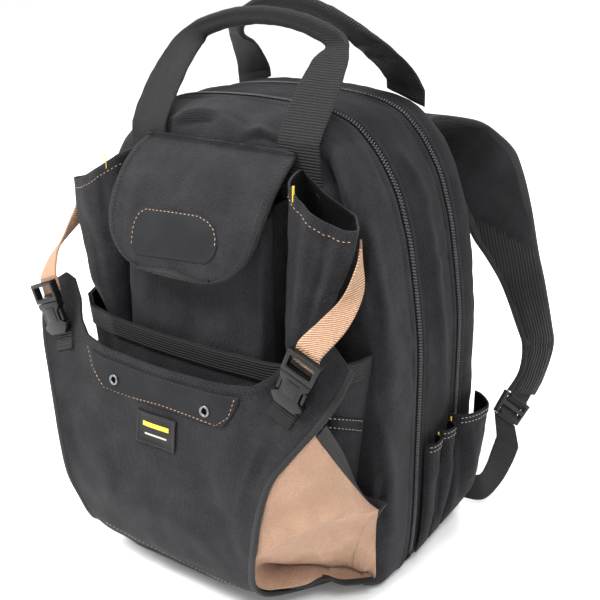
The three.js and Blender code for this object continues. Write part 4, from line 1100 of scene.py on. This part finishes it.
def pocketLift(folds, height=1.0, size=34):
    def lift(point, normal, u, v):
        rise = 1.3 * rumple(point, size, height)
        if facesCamera(point, normal) > 0:
            rise += 1.4 * foldHeight(folds, toFrame(point))
        return rise * smooth(0.03, 0.2, v)
    return lift


keepPiece(
    "flapPocket", clothGrid(boxPoint, 124, 84, loop=True, lift=pocketLift(boxFolds)),
    blackCloth, ["flap_pocket"], 2.2, liningCloth)

wingFolds = [
    ([(300, 200), (296, 240), (291, 290), (288, 335)], -2.5, 4.0),
    ([(308, 215), (306, 255), (300, 300), (297, 335)], 2.2, 5.0),
    ([(330, 228), (324, 260), (314, 300), (306, 335)], -2.2, 5.0),
    ([(343, 236), (334, 262), (324, 290), (313, 318)], 2.0, 5.0),
    ([(320, 240), (330, 262), (345, 272)], 1.6, 5.0),
    ([(84, 185), (92, 215), (104, 245)], 1.8, 6.0),
    ([(100, 175), (104, 205), (112, 235)], -1.8, 5.0),
    ([(92, 240), (98, 262), (104, 290)], -1.5, 5.0),
]
for side, mirror in sides:
    keepPiece(
        side + "Wing",
        clothGrid(wingPoint, 120, 90, loop=True, lift=pocketLift(wingFolds, 1.1, 30), mirror=mirror),
        blackCloth, [side + "_wing_pocket"], 2.2, liningCloth)


def innerLift(point, normal, u, v):
    return rumple(point, 40, 0.7) * smooth(0, 0.1, min(u, 1 - u))


def innerBandPoint(u, v):
    return innerPoint((2 * u - 1) * 0.99, v * innerSizes["band"] / innerSizes["height"], 1.9)


keepPiece(
    "innerWall",
    clothGrid(lambda u, v: innerPoint(2 * u - 1, v), 120, 40, flip=True, lift=innerLift),
    blackCloth, ["inner_pocket"], 1.8, liningCloth)
keepPiece(
    "innerBand", clothGrid(innerBandPoint, 120, 8, flip=True, lift=innerLift),
    blackWebbing, ["inner_pocket_band"], 1.4)
print("stage: upper pockets made")

pouchFolds = [
    ([(80, 470), (120, 498), (170, 524), (225, 548)], 1.5, 9.0),
    ([(62, 400), (72, 440), (92, 475)], -1.8, 8.0),
    ([(100, 440), (112, 478), (108, 505)], 2.0, 8.0),
    ([(200, 470), (215, 505), (232, 540)], -2.0, 9.0),
    ([(262, 440), (250, 480), (238, 515)], 2.2, 7.0),
    ([(285, 425), (265, 455), (250, 492)], -1.6, 6.0),
    ([(300, 400), (285, 425), (270, 448)], 1.8, 6.0),
    ([(258, 400), (275, 392), (295, 372)], -1.6, 6.0),
    ([(150, 470), (160, 505), (158, 535)], -1.4, 9.0),
    ([(75, 300), (70, 340), (66, 375)], 1.6, 7.0),
    ([(130, 540), (175, 562), (220, 578)], -2.2, 4.5),
    ([(120, 548), (170, 572), (215, 590)], 2.0, 4.0),
]


def panelRumple(point, normal, u, v):
    rise = rumple(point, 48, 2.2)
    if facesCamera(point, normal) > 0:
        rise += 1.4 * foldHeight(pouchFolds, toFrame(point))
    return rise


def pouchLift(point, normal, u, v):
    rise = panelRumple(point, normal, u, v)
    rise *= smooth(0.0, 0.08, min(u, 1 - u)) * (1 - smooth(0.9, 1, v))
    return rise + 1.0 * (1 - smooth(0.045, 0.055, v))  # folded hem of the rim


# Cuts a round hole through a piece; sizes in metres
def cutHole(piece, spot, way, radius):
    bm = bmesh.new()
    bmesh.ops.create_cone(bm, cap_ends=True, segments=20, radius1=radius, radius2=radius, depth=0.03)
    turn = Vector((0, 0, 1)).rotation_difference(way).to_matrix().to_4x4()
    bmesh.ops.transform(bm, matrix=Matrix.Translation(spot) @ turn, verts=bm.verts)
    mesh = bpy.data.meshes.new("cutter")
    bm.to_mesh(mesh)
    bm.free()
    cutter = bpy.data.objects.new("cutter", mesh)
    collection.objects.link(cutter)
    hole = piece.modifiers.new("hole", "BOOLEAN")
    hole.operation = "DIFFERENCE"
    hole.solver = "EXACT"
    hole.object = cutter
    settle(piece)
    bpy.data.objects.remove(cutter)


# Turns a piece's modifiers into its mesh
def settle(piece):
    graph = bpy.context.evaluated_depsgraph_get()
    mesh = bpy.data.meshes.new_from_object(piece.evaluated_get(graph))
    piece.modifiers.clear()
    piece.data = mesh


pouchPanel = keepPiece(
    "pouchPanel",
    clothGrid(lambda u, v: panelPoint(2 * u - 1, v), 120, 104, flip=True, lift=pouchLift),
    blackCloth, ["pouch_panel"], bag["clothWall"], liningCloth)


# Points of what is sewn to the panel: its half width at a share of its height, where it starts and
# ends below the rim, and how far it stands off
def onPanelPoint(halfOf, start, end, stand):
    low, high = panelDown(start), panelDown(end)

    def pointAt(u, v):
        down = lerp(low, high, v)
        side = (2 * u - 1) * halfOf(v) / (rowAt(panelRows, down).across * pouchSizes["half"])
        return panelPoint(side, down) + panelNormal(side, down) * stand
    return pointAt


pouchPatch = keepPiece(
    "pouchPatch",
    clothGrid(
        onPanelPoint(lambda v: 90 * (1 - 0.155 * v * v), 9, 38, 1.5), 80, 16,
        flip=True, lift=panelRumple),
    patchCloth, ["pouch_patch"], 1.0)

eyelets = {"apart": 112, "down": 27, "holeRadius": 4.1}
eyeletDown = panelDown(eyelets["down"])
eyeletSide = eyelets["apart"] / 2 / (rowAt(panelRows, eyeletDown).across * pouchSizes["half"])


# Rolled ring of an eyelet, spun about its axis
def eyeletBm(spot, way):
    bm = bmesh.new()
    profile = [
        (3.0, -3.6), (3.9, -3.6), (3.9, 0.1), (5.0, 0.1), (5.45, 0.35), (5.5, 0.8), (5.1, 1.25),
        (4.4, 1.4), (3.6, 1.25), (3.1, 0.8), (3.0, 0.0)]
    verts = [bm.verts.new((x / 1000, 0, z / 1000)) for x, z in profile]
    edges = [bm.edges.new((a, b)) for a, b in zip(verts, verts[1:] + verts[:1])]
    bmesh.ops.spin(
        bm, geom=verts + edges, cent=(0, 0, 0), axis=(0, 0, 1), angle=math.tau, steps=28, use_merge=True)
    bmesh.ops.remove_doubles(bm, verts=bm.verts, dist=1e-6)
    bmesh.ops.recalc_face_normals(bm, faces=bm.faces)
    turn = Vector((0, 0, 1)).rotation_difference(way).to_matrix().to_4x4()
    bmesh.ops.transform(bm, matrix=Matrix.Translation(spot) @ turn, verts=bm.verts)
    return bm


for side, hand in (("right", 1), ("left", -1)):
    facing = panelNormal(hand * eyeletSide, eyeletDown)
    spot = panelPoint(hand * eyeletSide, eyeletDown)
    spot += facing * (1.5 + panelRumple(spot, facing, 0.5, 0.5))
    for cloth in (pouchPanel, pouchPatch):
        cutHole(cloth, place(spot), facing, eyelets["holeRadius"] / 1000)
    keepPiece(side + "Eyelet", eyeletBm(place(spot), facing), nickelPlate, [side + "_eyelet"])


# The plate is sunk inside its raised rim
def plateLift(point, normal, u, v):
    sunk = smooth(0.045, 0.065, min(u, 1 - u)) * smooth(0.065, 0.095, min(v, 1 - v))
    return panelRumple(point, normal, u, v) - 0.7 * sunk


keepPiece(
    "labelPlate",
    clothGrid(onPanelPoint(lambda v: 23.5, 46, 77, 2.3), 40, 28, flip=True, lift=plateLift),
    labelRubber, ["label_patch"], 1.6)
print("stage: pouch made")


# Section of a flat band with rounded edges, at a share of the way round it
def bandSection(share, half, thick):
    spot = (share % 1) * 24
    flat = half - thick
    if spot < 8:
        return lerp(-flat, flat, spot / 8), thick
    if spot < 12:
        turn = (spot - 8) / 4 * math.pi
        return flat + thick * math.sin(turn), thick * math.cos(turn)
    if spot < 20:
        return lerp(flat, -flat, (spot - 12) / 8), -thick
    turn = (spot - 20) / 4 * math.pi
    return -flat - thick * math.sin(turn), -thick * math.cos(turn)


# Section of a padded strap: full in the middle, thinner at its bound edges
def paddedSection(share, half, thick):
    turn = (share % 1) * math.tau
    across = math.copysign(abs(math.cos(turn)) ** 0.7, math.cos(turn))
    full = 1 - 0.55 * abs(across) ** 5
    return -half * across, thick * full * math.copysign(abs(math.sin(turn)) ** 0.45, math.sin(turn))


# Frames along a strap of (at, half width vector, thickness) stations
def strapFrames(stations):
    frames = []
    last = len(stations) - 1
    for k, (at, wide, thick) in enumerate(stations):
        ahead = stations[min(k + 1, last)][0] - stations[max(k - 1, 0)][0]
        frames.append((at, wide, wide.cross(ahead).normalized(), thick))
    return frames


def strapAt(frames, share):
    spot = clamp(share, 0, 1) * (len(frames) - 1)
    k = min(int(spot), len(frames) - 2)
    f = spot - k
    at, wide, facing, thick = (lerp(a, b, f) for a, b in zip(frames[k], frames[k + 1]))
    return at, wide, facing.normalized(), thick


def bandBm(stations, along, around=24, section=bandSection, lift=None, mirror=False):
    frames = strapFrames(stations)

    def pointAt(u, v):
        at, wide, facing, thick = strapAt(frames, v)
        half = wide.length
        across, out = section(u, half, min(thick / 2, half * 0.95))
        return at + wide.normalized() * across + facing * out

    return clothGrid(pointAt, around, along, loop=True, tube=True, lift=lift, mirror=mirror)


# Flap edge: a tape folded over its sides and its hem
def flapEdgeStations():
    edge = [(0, v / 24) for v in range(1, 24)] + [(u / 12, 1) for u in range(13)]
    edge += [(1, 1 - v / 24) for v in range(1, 24)]
    stations = []
    for u, v in edge:
        inner = flapPoint(clamp(u, 0.03, 0.97), min(v, 0.97))
        spot = flapPoint(u, v)
        normal = facingAt(flapPoint, u, v)
        if normal.y > 0:
            normal = -normal
        inward = (inner - spot).normalized()
        lifted = flapLift(spot, normal, 0.5, v) + 0.2
        stations.append((spot + inward * 3.2 - normal * (1.5 - lifted), inward * 4.4, 4.6))
    return stations


keepPiece("flapBinding", bandBm(flapEdgeStations(), 220, 16), bindingTape)
boundSurface = surfaceOf("flapCover", "flapBinding")
flapSeams = []
for inset in (0.018, 0.034):
    seam = [flapPoint(inset, 0.06 + 0.9 * k / 50) for k in range(51)]
    flapSeams += [seam, mirrored(seam, True)]
for down in (0.955, 0.975):
    flapSeams.append([flapPoint(0.05 + 0.9 * k / 40, down) for k in range(41)])
stitchPiece("flapThread", [nearPath(boundSurface, seam, (0, -4, 0)) for seam in flapSeams], "black")
stitchPiece(
    "flapPatchThread",
    [drawnPath(surfaceOf("flapPatch", "flapCover"), [
        (131.5, 242), (132.5, 230), (135, 220), (139.5, 212.5), (146.5, 209), (173, 212.5), (198.5, 216.5),
        (208, 222.5), (213, 229.5), (215, 238), (214.5, 248)])],
    "tan")

for side, mirror in sides:
    rim = [wingPoint(0.04 + 0.56 * k / 50, 0.972) for k in range(51)]
    stitchPiece(
        side + "WingThread", [nearPath(surfaceOf(side + "Wing"), rim, (0, -3, 0), mirror)], "tan")

panelSurface = surfaceOf("pouchPanel", "pouchPatch")


def panelRow(down, start=-0.96, end=0.96, count=90):
    points = []
    for k in range(count + 1):
        side = lerp(start, end, k / count)
        points.append(panelPoint(side, down) + panelNormal(side, down) * 3)
    return nearPath(panelSurface, points)


stitchPiece(
    "pouchRimThread", [panelRow(panelDown(below)) for below in (3, 6, 10)], "black")
stitchPiece(
    "pouchPatchThread",
    [drawnPath(panelSurface, [
        (88, 347), (92, 365), (98, 378), (104, 387), (130, 397), (160, 405), (190, 416), (215, 426),
        (228, 418), (234, 400)])],
    "tan")
stitchPiece(
    "pouchBaseThread",
    [drawnPath(panelSurface, [(107, 523), (140, 541), (175, 558), (208, 574), (240, 588)])],
    "tanBase")
print("stage: flap and pouch stitched")

# Label: a plain yellow bar and a thin white one, each from and to below the rim, and its half width
for name, finish, start, end, half in (
        ("labelBar", yellowThread, 55, 59.5, 15.5), ("labelLine", paleThread, 66, 67.6, 13)):
    keepPiece(
        name,
        clothGrid(onPanelPoint(lambda v: half, start, end, 2.0), 24, 4, flip=True, lift=panelRumple),
        finish, wall=0.7)

gussetFolds = [
    ([(345, 583), (362, 576), (382, 568)], -2.5, 3.5),
    ([(350, 576), (366, 566), (384, 556)], 2.2, 5.0),
    ([(314, 445), (306, 470), (296, 500), (285, 528)], 1.6, 6.0),
    ([(330, 462), (322, 484), (310, 510)], -1.4, 5.0),
    ([(300, 540), (318, 552), (334, 572)], 2.2, 7.0),
    ([(324, 520), (340, 536), (350, 560)], -1.6, 6.0),
    ([(290, 470), (280, 498), (268, 524)], -1.0, 5.0),
]


def gussetLift(point, normal, u, v):
    rise = rumple(point, 30, 1.6)
    if facesCamera(point, normal) > 0:
        rise += foldHeight(gussetFolds, toFrame(point))
    return rise * smooth(0, 0.06, min(u, 1 - u)) * smooth(0, 0.06, min(v, 1 - v))


def gussetEdge(down, other, width, thick, start=0.02):
    stations = []
    for k in range(41):
        back = lerp(start, 0.985, k / 40)
        edge = gussetPoint(back, down)
        away = (edge - gussetPoint(back, other)).normalized()
        stations.append((edge + away * (width / 2 - 1.5), away * (width / 2 + 0.6), thick))
    return stations


def pouchEdgeStations():
    stations = []
    for k in range(61):
        down = k / 61
        edge = panelPoint(1, down) - panelNormal(1, down) * 1.25
        away = (panelPoint(1, down) - panelPoint(0.96, down)).normalized()
        stations.append((edge + away * 2.2, away * 3.6, 4.6))
    return stations


# Bound edges of a gusset: share down, share that it points away from, width, thickness and start
topEdge = (0, 0.05, 13, 3.2)
hemEdge = (1, 0.95, 6, 3.4, 0.1)
for side, mirror in sides:
    keepPiece(
        side + "Gusset", clothGrid(gussetPoint, 90, 90, flip=True, lift=gussetLift, mirror=mirror),
        tanCloth, [side + "_gusset"], 2)
    for name, stations, steps, node in (
            ("GussetBinding", gussetEdge(*topEdge), 80, "_gusset_binding"),
            ("Hem", gussetEdge(*hemEdge), 80, "_hem"),
            ("PouchBinding", pouchEdgeStations(), 160, "_pouch_binding")):
        keepPiece(side + name, bandBm(stations, steps, mirror=mirror), bindingTape, [side + node])
    surface = surfaceOf(side + "GussetBinding")
    rows = []
    for offset in (1.0, 7.5):
        row = [at + wide.normalized() * (offset - 6.5) for at, wide, _ in gussetEdge(*topEdge)]
        rows.append(nearPath(surface, row, (4, -4, 2), mirror))
    stitchPiece(side + "BindingThread", rows, "black")

# Sewn strip across the inner pocket behind the right ear, as the photograph shows it
innerSurface = surfaceOf("innerWall", "frontShell")


def stripPoint(u, v):
    spot = (lerp(330, 362, u), lerp(lerp(416.5, 429, v), lerp(418.5, 432, v), u))
    return seenOn(innerSurface, spot, 0.0008)[0]


for side, mirror in sides:
    keepPiece(
        side + "InnerStrip", clothGrid(stripPoint, 24, 6, flip=True, mirror=mirror),
        patchCloth, wall=0.9)
    surface = surfaceOf(side + "InnerStrip")
    stitchPiece(
        side + "StripThread",
        [nearPath(surface, [stripPoint(k / 20, across) for k in range(21)], (1, -1, 0), mirror)
         for across in (0.14, 0.86)],
        "pale")
print("stage: gussets made")


# Tan straps with their buckles
strapSizes = {"width": 25, "wall": 2.0}
buckle = {
    "width": 33, "length": 54, "thick": 8, "lean": 22, "across": 147, "out": 94, "height": 274,
    "joint": 6, "bar": 4,
}


def widthVector(turn, tilt, width):
    h, t = math.radians(turn), math.radians(tilt)
    return Vector((math.cos(h) * math.cos(t), math.sin(h) * math.cos(t), math.sin(t))) * width / 2


def tanStations():
    stations = []
    furthest = tanRows.rows[-1][1]
    for k in range(61):
        row = rowAt(tanRows, k / 60)
        out = min(row.out, furthest) * pouchSizes["depth"]
        at = Vector((row.across * halfWidth, -out, row.up * bodyHeight))
        wide = widthVector(row.turn, row.tilt, strapSizes["width"])
        stations.append((at, wide, row.thick * strapSizes["wall"]))
    return stations


def bucklePoint(across, along, out=0.0):
    lean = math.radians(buckle["lean"])
    return Vector((
        buckle["across"] + across * math.cos(lean) + along * math.sin(lean),
        -buckle["out"] - out,
        buckle["height"] - across * math.sin(lean) + along * math.cos(lean)))


# Rounded slab with an outline and, where it has one, a window with as many corners
def slabBm(outline, low, high, window=None, mirror=False, soft=0.9):
    bm = bmesh.new()
    outer = [bm.verts.new(bucklePoint(x, y, high)) for x, y in outline]
    if window:
        inner = [bm.verts.new(bucklePoint(x, y, high)) for x, y in window]
        edges = [
            bm.edges.new(pair) for ring in (outer, inner) for pair in zip(ring, ring[1:] + ring[:1])]
        bmesh.ops.bridge_loops(bm, edges=edges)
    else:
        bm.faces.new(outer)
    grown = bmesh.ops.extrude_face_region(bm, geom=bm.faces[:])
    bmesh.ops.translate(
        bm, vec=bucklePoint(0, 0, low) - bucklePoint(0, 0, high),
        verts=[item for item in grown["geom"] if isinstance(item, bmesh.types.BMVert)])
    bmesh.ops.recalc_face_normals(bm, faces=bm.faces)
    sharp = [edge for edge in bm.edges if edge.calc_face_angle(0) > 0.3]
    bmesh.ops.bevel(
        bm, geom=sharp, offset=soft, segments=3, profile=0.5, affect="EDGES", material=-1)
    for vert in bm.verts:
        if mirror:
            vert.co.x = -vert.co.x
        vert.co = place(vert.co)
    bmesh.ops.recalc_face_normals(bm, faces=bm.faces)
    return bm


def boxOutline(left, low, right, high):
    return [(left, low), (right, low), (right, high), (left, high)]


half = buckle["width"] / 2
end = buckle["length"] / 2
thick = buckle["thick"] / 2
joint = buckle["joint"]
bar = buckle["bar"]
notch = half * 0.62
baseOutline = [
    (-half + 1, joint), (-half + 1, joint - 5), (-notch, joint - 10), (-notch, -joint - 8),
    (-half, -joint - 12), (-half, -end + 6), (-half + 6, -end), (half - 6, -end), (half, -end + 6),
    (half, -joint - 12), (notch, -joint - 8), (notch, joint - 10), (half - 1, joint - 5),
    (half - 1, joint)]

# Slabs of a buckle: outline, low and high side, window, roundness and the node it stands for
buckleSlabs = (
    ("BuckleTop", boxOutline(-half, joint + 0.3, half, end), -thick, thick,
     boxOutline(-half + bar, joint + 5, half - bar, end - bar), 0.9, "_buckle_top"),
    ("BuckleBase", baseOutline, -thick, thick, None, 0.8, "_buckle_base"),
    ("Prong0", boxOutline(-notch - 4.4, -joint - 9, -notch - 1.0, joint - 8), -2.4, 2.6, None, 0.9, ""),
    ("Prong1", boxOutline(notch + 1.0, -joint - 9, notch + 4.4, joint - 8), -2.4, 2.6, None, 0.9, ""),
    ("BucklePanel", boxOutline(-7, -joint - 8, 7, joint - 5), 3.2, 4.7, None, 0.6, ""))
for side, mirror in sides:
    keepPiece(
        side + "TanStrap", bandBm(tanStations(), 150, mirror=mirror), tanWebbing, [side + "_tan_strap"])
    for name, outline, low, high, window, soft, node in buckleSlabs:
        keepPiece(
            side + name, slabBm(outline, low, high, window, mirror, soft),
            bucklePlastic, [side + node] if node else ())
    tabStations = []
    for along, out in tabRows.rows:
        at = bucklePoint(0, along * buckle["length"])
        at.y = -out * pouchSizes["depth"]
        wide = widthVector(0, -buckle["lean"], strapSizes["width"])
        tabStations.append((at, wide, strapSizes["wall"]))
    keepPiece(
        side + "BuckleTab", bandBm(tabStations, 30, mirror=mirror), blackWebbing, [side + "_buckle_tab"])
    surface = surfaceOf(side + "TanStrap")
    frames = strapFrames(tanStations())
    paths = []
    for (fromSide, fromShare), (toSide, toShare) in (
            ((-0.8, 0.8), (0.8, 0.8)), ((-0.8, 0.93), (0.8, 0.93)), ((-0.8, 0.8), (0.8, 0.93)),
            ((0.8, 0.8), (-0.8, 0.93))):
        row = []
        for k in range(13):
            at, wide, _, _ = strapAt(frames, lerp(fromShare, toShare, k / 12))
            row.append(at + wide * lerp(fromSide, toSide, k / 12))
        paths.append(nearPath(surface, row, (2, -5, 0), mirror))
    stitchPiece(side + "StrapThread", paths, "tanCross")
print("stage: straps and buckles made")


# Tool pockets on both sides
toolFolds = [
    ([(424, 452), (428, 490), (424, 540)], 1.6, 4.0),
    ([(436, 446), (438, 490), (436, 530)], -1.6, 3.5),
    ([(448, 440), (452, 480), (448, 525)], 1.8, 4.0),
    ([(458, 432), (462, 470), (456, 520)], -2.0, 3.5),
    ([(470, 425), (474, 462), (466, 512)], 2.4, 4.5),
    ([(484, 408), (486, 450), (478, 500)], -2.0, 4.0),
    ([(494, 396), (496, 430), (488, 480)], 1.8, 4.0),
]


def toolLift(number):
    def lift(point, normal, u, v):
        rise = rumple(point, 22, 1.0)
        if facesCamera(point, normal) > 0:
            rise += foldHeight(toolFolds, toFrame(point))
        rise += 0.9 * math.sin(u * 9 + number) * (1 - smooth(0.0, 0.25, v))  # wavy hem
        rise += 0.7 * (1 - smooth(0.07, 0.085, v))
        return rise * smooth(0, 0.1, min(u, 1 - u)) * (1 - smooth(0.9, 1, v))
    return lift


# The tool pockets take the black cloth with painted side shade
for side, mirror in sides:
    for number in range(3):
        pointAt = toolPoint(number)
        name = side + "Tool" + str(number + 1)
        keepPiece(
            name, clothGrid(pointAt, 44, 50, flip=True, lift=toolLift(number), mirror=mirror),
            paintedShadeSideCloth, [side + "_tool_pocket_" + str(number + 1)], toolSizes["wall"], liningCloth)
        surface = surfaceOf(name)
        stitchPiece(
            side + "ToolThread" + str(number + 1),
            [nearPath(
                surface, [pointAt(0.06 + 0.88 * k / 24, down) for k in range(25)], (3, 0, 0), mirror)
             for down in (0.022, 0.062)],
            "pale")


# Short dense bar of thread at a spot, running along a way
def tackInto(bm, spot, facing, way, length, width, thread=0.9):
    side = way.cross(facing).normalized()
    count = int(length / thread)
    for k in range(count):
        centre = spot + way * ((k + 0.5) / count - 0.5) * length + facing * 0.5
        beadInto(bm, place(centre), (side, way, facing), (width / 2, thread * 0.6, 0.7))


tackBm = bmesh.new()
for hand in (1, -1):
    for number, share in ((0, 1.0), (1, 0.0), (1, 1.0), (2, 0.0)):
        spot = toolPoint(number)(share, 0.05)
        tackInto(
            tackBm, Vector((hand * (spot.x + 0.6), spot.y, spot.z)), Vector((hand, 0, 0)),
            Vector((0, 0, 1)), 9, 3)
    spot, normal = seenOn(surfaceOf("rightWing", "flapPocket", "frontShell"), (293, 194))
    tackInto(
        tackBm, Vector((hand * spot.x, spot.y, spot.z)),
        Vector((hand * normal.x, normal.y, 0)).normalized(), Vector((0, 0, 1)), 14, 3)
keepPiece("barTacks", tackBm, yellowThread)
print("stage: tool pockets made")


handleSizes = {"rise": 112, "width": 44, "wall": 2.5}


# Stations of a whole handle from the rows of its right half, and its foot if it has one
def handleStations(rows, first, seat):
    half = [first] if first else []
    for k in range(61):
        row = rowAt(rows, k / 60)
        at = Vector((
            row.across * halfWidth, max(row.back, 0) * bodyDepth + seat,
            flapSizes["hinge"] + row.up * handleSizes["rise"]))
        wide = Vector((row.wide, 0, row.tall)) * handleSizes["width"] / 2
        half.append((at, wide, row.thick * handleSizes["wall"]))
    mirror = [
        (Vector((-at.x, at.y, at.z)), Vector((-wide.x, wide.y, wide.z)), thick)
        for at, wide, thick in reversed(half[:-1])]
    return half + mirror


def handleLift(point, normal, u, v):
    gathered = smooth(0.16, 0.3, min(v, 1 - v))
    return rumple(point, 16, 0.7) + 0.7 * gathered * math.sin(u * math.tau * 3)


# The rear handle's feet are sewn to the top of the rear shell
def rearFoot():
    row = rowAt(rearRings, 0.6)
    width, back, across = handleSizes["width"], 183, 95
    heights = []
    for edge in (across - width / 2, across + width / 2):
        best = min(
            (ringPoint(share / 800, row, back) for share in range(200, 400)),
            key=lambda p: abs(p.x - edge))
        heights.append(best.z + seamGap + 0.2 * edgeRound)
    middle = Vector((across, back, sum(heights) / 2))
    return middle, Vector((width / 2, 0, (heights[1] - heights[0]) / 2)), handleSizes["wall"]


for name, rows, foot, seat in (
        ("front", frontHandleRows, None, -1.55), ("rear", rearHandleRows, rearFoot(), 0)):
    keepPiece(
        name + "Handle", bandBm(handleStations(rows, foot, seat), 320, 32, lift=handleLift),
        blackWebbing, [name + "_handle"])
print("stage: handles made")


# Stations of a strap from the rows of its outer and inner edge
def edgeStations(rows, steps, thick, seat):
    stations = []
    for k in range(steps + 1):
        row = rowAt(rows, k / steps)
        outer = Vector((row.outX * halfWidth, row.outY * bodyDepth + seat, row.outZ * bodyHeight))
        inner = Vector((row.inX * halfWidth, row.inY * bodyDepth + seat, row.inZ * bodyHeight))
        stations.append(((outer + inner) / 2, (outer - inner) / 2, thick))
    return stations


shoulder = edgeStations(shoulderRows, 88, 9, 0)
shoulderFrames = strapFrames(shoulder)


# Bound edge of a shoulder strap: hand 1 is its outer edge
def strapEdgeStations(hand):
    stations = []
    for at, wide, facing, _ in shoulderFrames:
        away = wide.normalized() * hand
        stations.append((at + wide * hand - away * 5.2, away * 6.0, 6.4))
    return stations


# Crest, seams and bend of the strap as the photograph shows them
strapFolds = [
    ([(488, 126), (474, 140), (459, 157)], 2.6, 5.0),
    ([(459, 157), (452, 176), (449, 200)], 1.8, 5.0),
    ([(474, 217), (500, 231), (527, 246)], -2.2, 2.2),
    ([(521, 341), (538, 344), (556, 346)], -2.2, 2.4),
    ([(470, 160), (500, 186), (520, 215)], -1.2, 6.0),
    ([(515, 270), (523, 300), (527, 330)], 1.2, 6.0),
]


def strapLift(point, normal, u, v):
    seen = toFrame((abs(point.x), point.y, point.z))
    return rumple(point, 26, 1.0) + foldHeight(strapFolds, seen)


# The strap ends in an adjuster: how far it stands off, and the webbing through its two windows,
# along and out from the strap's end
adjuster = {
    "gap": 0.6, "length": 27, "halfWidth": 14.5, "lowerHalf": 19,
    "threading": ((-2, -1), (2, -4.4), (7, 0), (12.5, 4.4), (18, 0), (24, -4.4), (29, -1)),
}
for side, mirror in sides:
    strap = keepPiece(
        side + "ShoulderStrap",
        bandBm(shoulder, 170, 40, section=paddedSection, mirror=mirror, lift=strapLift),
        strapCloth, [side + "_shoulder_strap"])
    strap.data.materials.append(spacerMesh)
    for face in strap.data.polygons:
        middle = face.center * 1000
        seen = toFrame((abs(middle.x), middle.y - frameShift, middle.z))
        if seen[1] > 218 + 0.54 * (seen[0] - 475) and face.normal.y < 0.1:
            face.material_index = 1
    for hand, name in ((1, "Outer"), (-1, "Inner")):
        keepPiece(
            side + name + "Binding", bandBm(strapEdgeStations(hand), 170, 16, mirror=mirror),
            bindingTape)
    end, endWide, endFacing, _ = shoulderFrames[-1]
    down = (shoulder[-1][0] - shoulder[-4][0]).normalized()
    facing = endWide.cross(down).normalized()
    across = down.cross(facing).normalized()
    begin = abs(endWide.dot(down)) + adjuster["gap"]
    lowerHalf = adjuster["lowerHalf"] * (-1 if endWide.dot(across) < 0 else 1)
    below = (end + down * (begin + adjuster["length"] + adjuster["gap"]), across * lowerHalf, 2.4)
    facing = facing if facing.dot(endFacing) > 0 else -facing
    threaded = [
        (end + down * (begin + along) + facing * out, across * adjuster["halfWidth"], 2.2)
        for along, out in ((-begin - 8, 0), *adjuster["threading"])]
    keepPiece(side + "AdjusterWebbing", bandBm(threaded, 60, mirror=mirror), blackWebbing)
    lower = [below] + edgeStations(lowerRows, 60, 2.4, 0.3 + 1.2 - 0.008 * bodyDepth)
    keepPiece(
        side + "LowerWebbing", bandBm(lower, 160, mirror=mirror),
        blackWebbing, [side + "_lower_webbing"])
print("stage: shoulder straps made")


# Padded back panel with rounded corners and shallow channels
pad = {
    "width": 250, "height": 330, "base": 45, "thick": 9, "rim": 2.4, "wall": 2, "soft": 0.62,
    "channelsAcross": (0, 62), "channelsUp": (120, 290),
}


def padPoint(u, v):
    across, upward = 2 * u - 1, 2 * v - 1
    x = across * lerp(1, math.sqrt(1 - upward * upward / 2), pad["soft"])
    z = upward * lerp(1, math.sqrt(1 - across * across / 2), pad["soft"])
    inside = 1 - max(abs(across), abs(upward))
    out = lerp(pad["rim"], pad["thick"], math.sin(math.pi / 2 * clamp(inside / 0.07, 0, 1)))
    narrow = 1 - 0.1 * max(0, upward)
    return Vector((
        -x * narrow * pad["width"] / 2, bodyDepth + seamGap + out,
        pad["base"] + pad["height"] / 2 * (1 + z)))


def padLift(point, normal, u, v):
    channel = min(
        *[abs(abs(point.x) - x) for x in pad["channelsAcross"]],
        *[abs(point.z - z) for z in pad["channelsUp"]])
    inside = min(u, 1 - u, v, 1 - v)
    return (rumple(point, 40, 0.5) - 2.2 * math.exp(-((channel / 5) ** 2))) * smooth(0.04, 0.1, inside)


backPad = keepPiece(
    "backPad", clothGrid(padPoint, 110, 130, lift=padLift), spacerMesh, ["back_pad"], pad["wall"])

# CAD pieces that keep their shape
for node in ("right_adjuster", "left_adjuster", "front_zipper_slider", "rear_zipper_slider"):
    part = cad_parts[node]
    for slot in part.material_slots:
        slot.material = bucklePlastic
print("stage: pad and plastic parts made")

# Floor, light and background
floorMesh = bpy.data.meshes.new("floor")
floorBm = bmesh.new()
bmesh.ops.create_grid(floorBm, x_segments=1, y_segments=1, size=40)
floorBm.to_mesh(floorMesh)
floorBm.free()
floor = bpy.data.objects.new("floor", floorMesh)
collection.objects.link(floor)
floor.location = (0, 0, -0.0005)
floorFinish, _, _, floorShader = newFinish("floorFinish", (0.98, 0.98, 0.98), 0.95, specular=0.0)
floorMesh.materials.append(floorFinish)

world = bpy.data.worlds.new("studio")
bpy.context.scene.world = world
world.use_nodes = True
world.node_tree.nodes["Background"].inputs["Color"].default_value = (1, 1, 1, 1)
world.node_tree.nodes["Background"].inputs["Strength"].default_value = 1.0

# Each light's place in metres, its size and its power
lights = {
    "key": ((-1.3, -1.8, 2.8), 1.2, 165), "side": ((1.5, -1.5, 2.9), 0.9, 60),
    "top": ((0.2, 0.5, 2.5), 1.2, 45)}
for name, (spot, size, power) in lights.items():
    lamp = bpy.data.lights.new(name, "AREA")
    lamp.shape = "SQUARE"
    lamp.size = size
    lamp.energy = power
    source = bpy.data.objects.new(name, lamp)
    collection.objects.link(source)
    source.location = spot
    aim = Vector((0, 0, 0.28)) - Vector(spot)
    source.rotation_euler = aim.to_track_quat("-Z", "Y").to_euler()

bpy.context.scene.view_settings.view_transform = "Standard"
bpy.context.scene.view_settings.look = "None"
print("stage: lit")
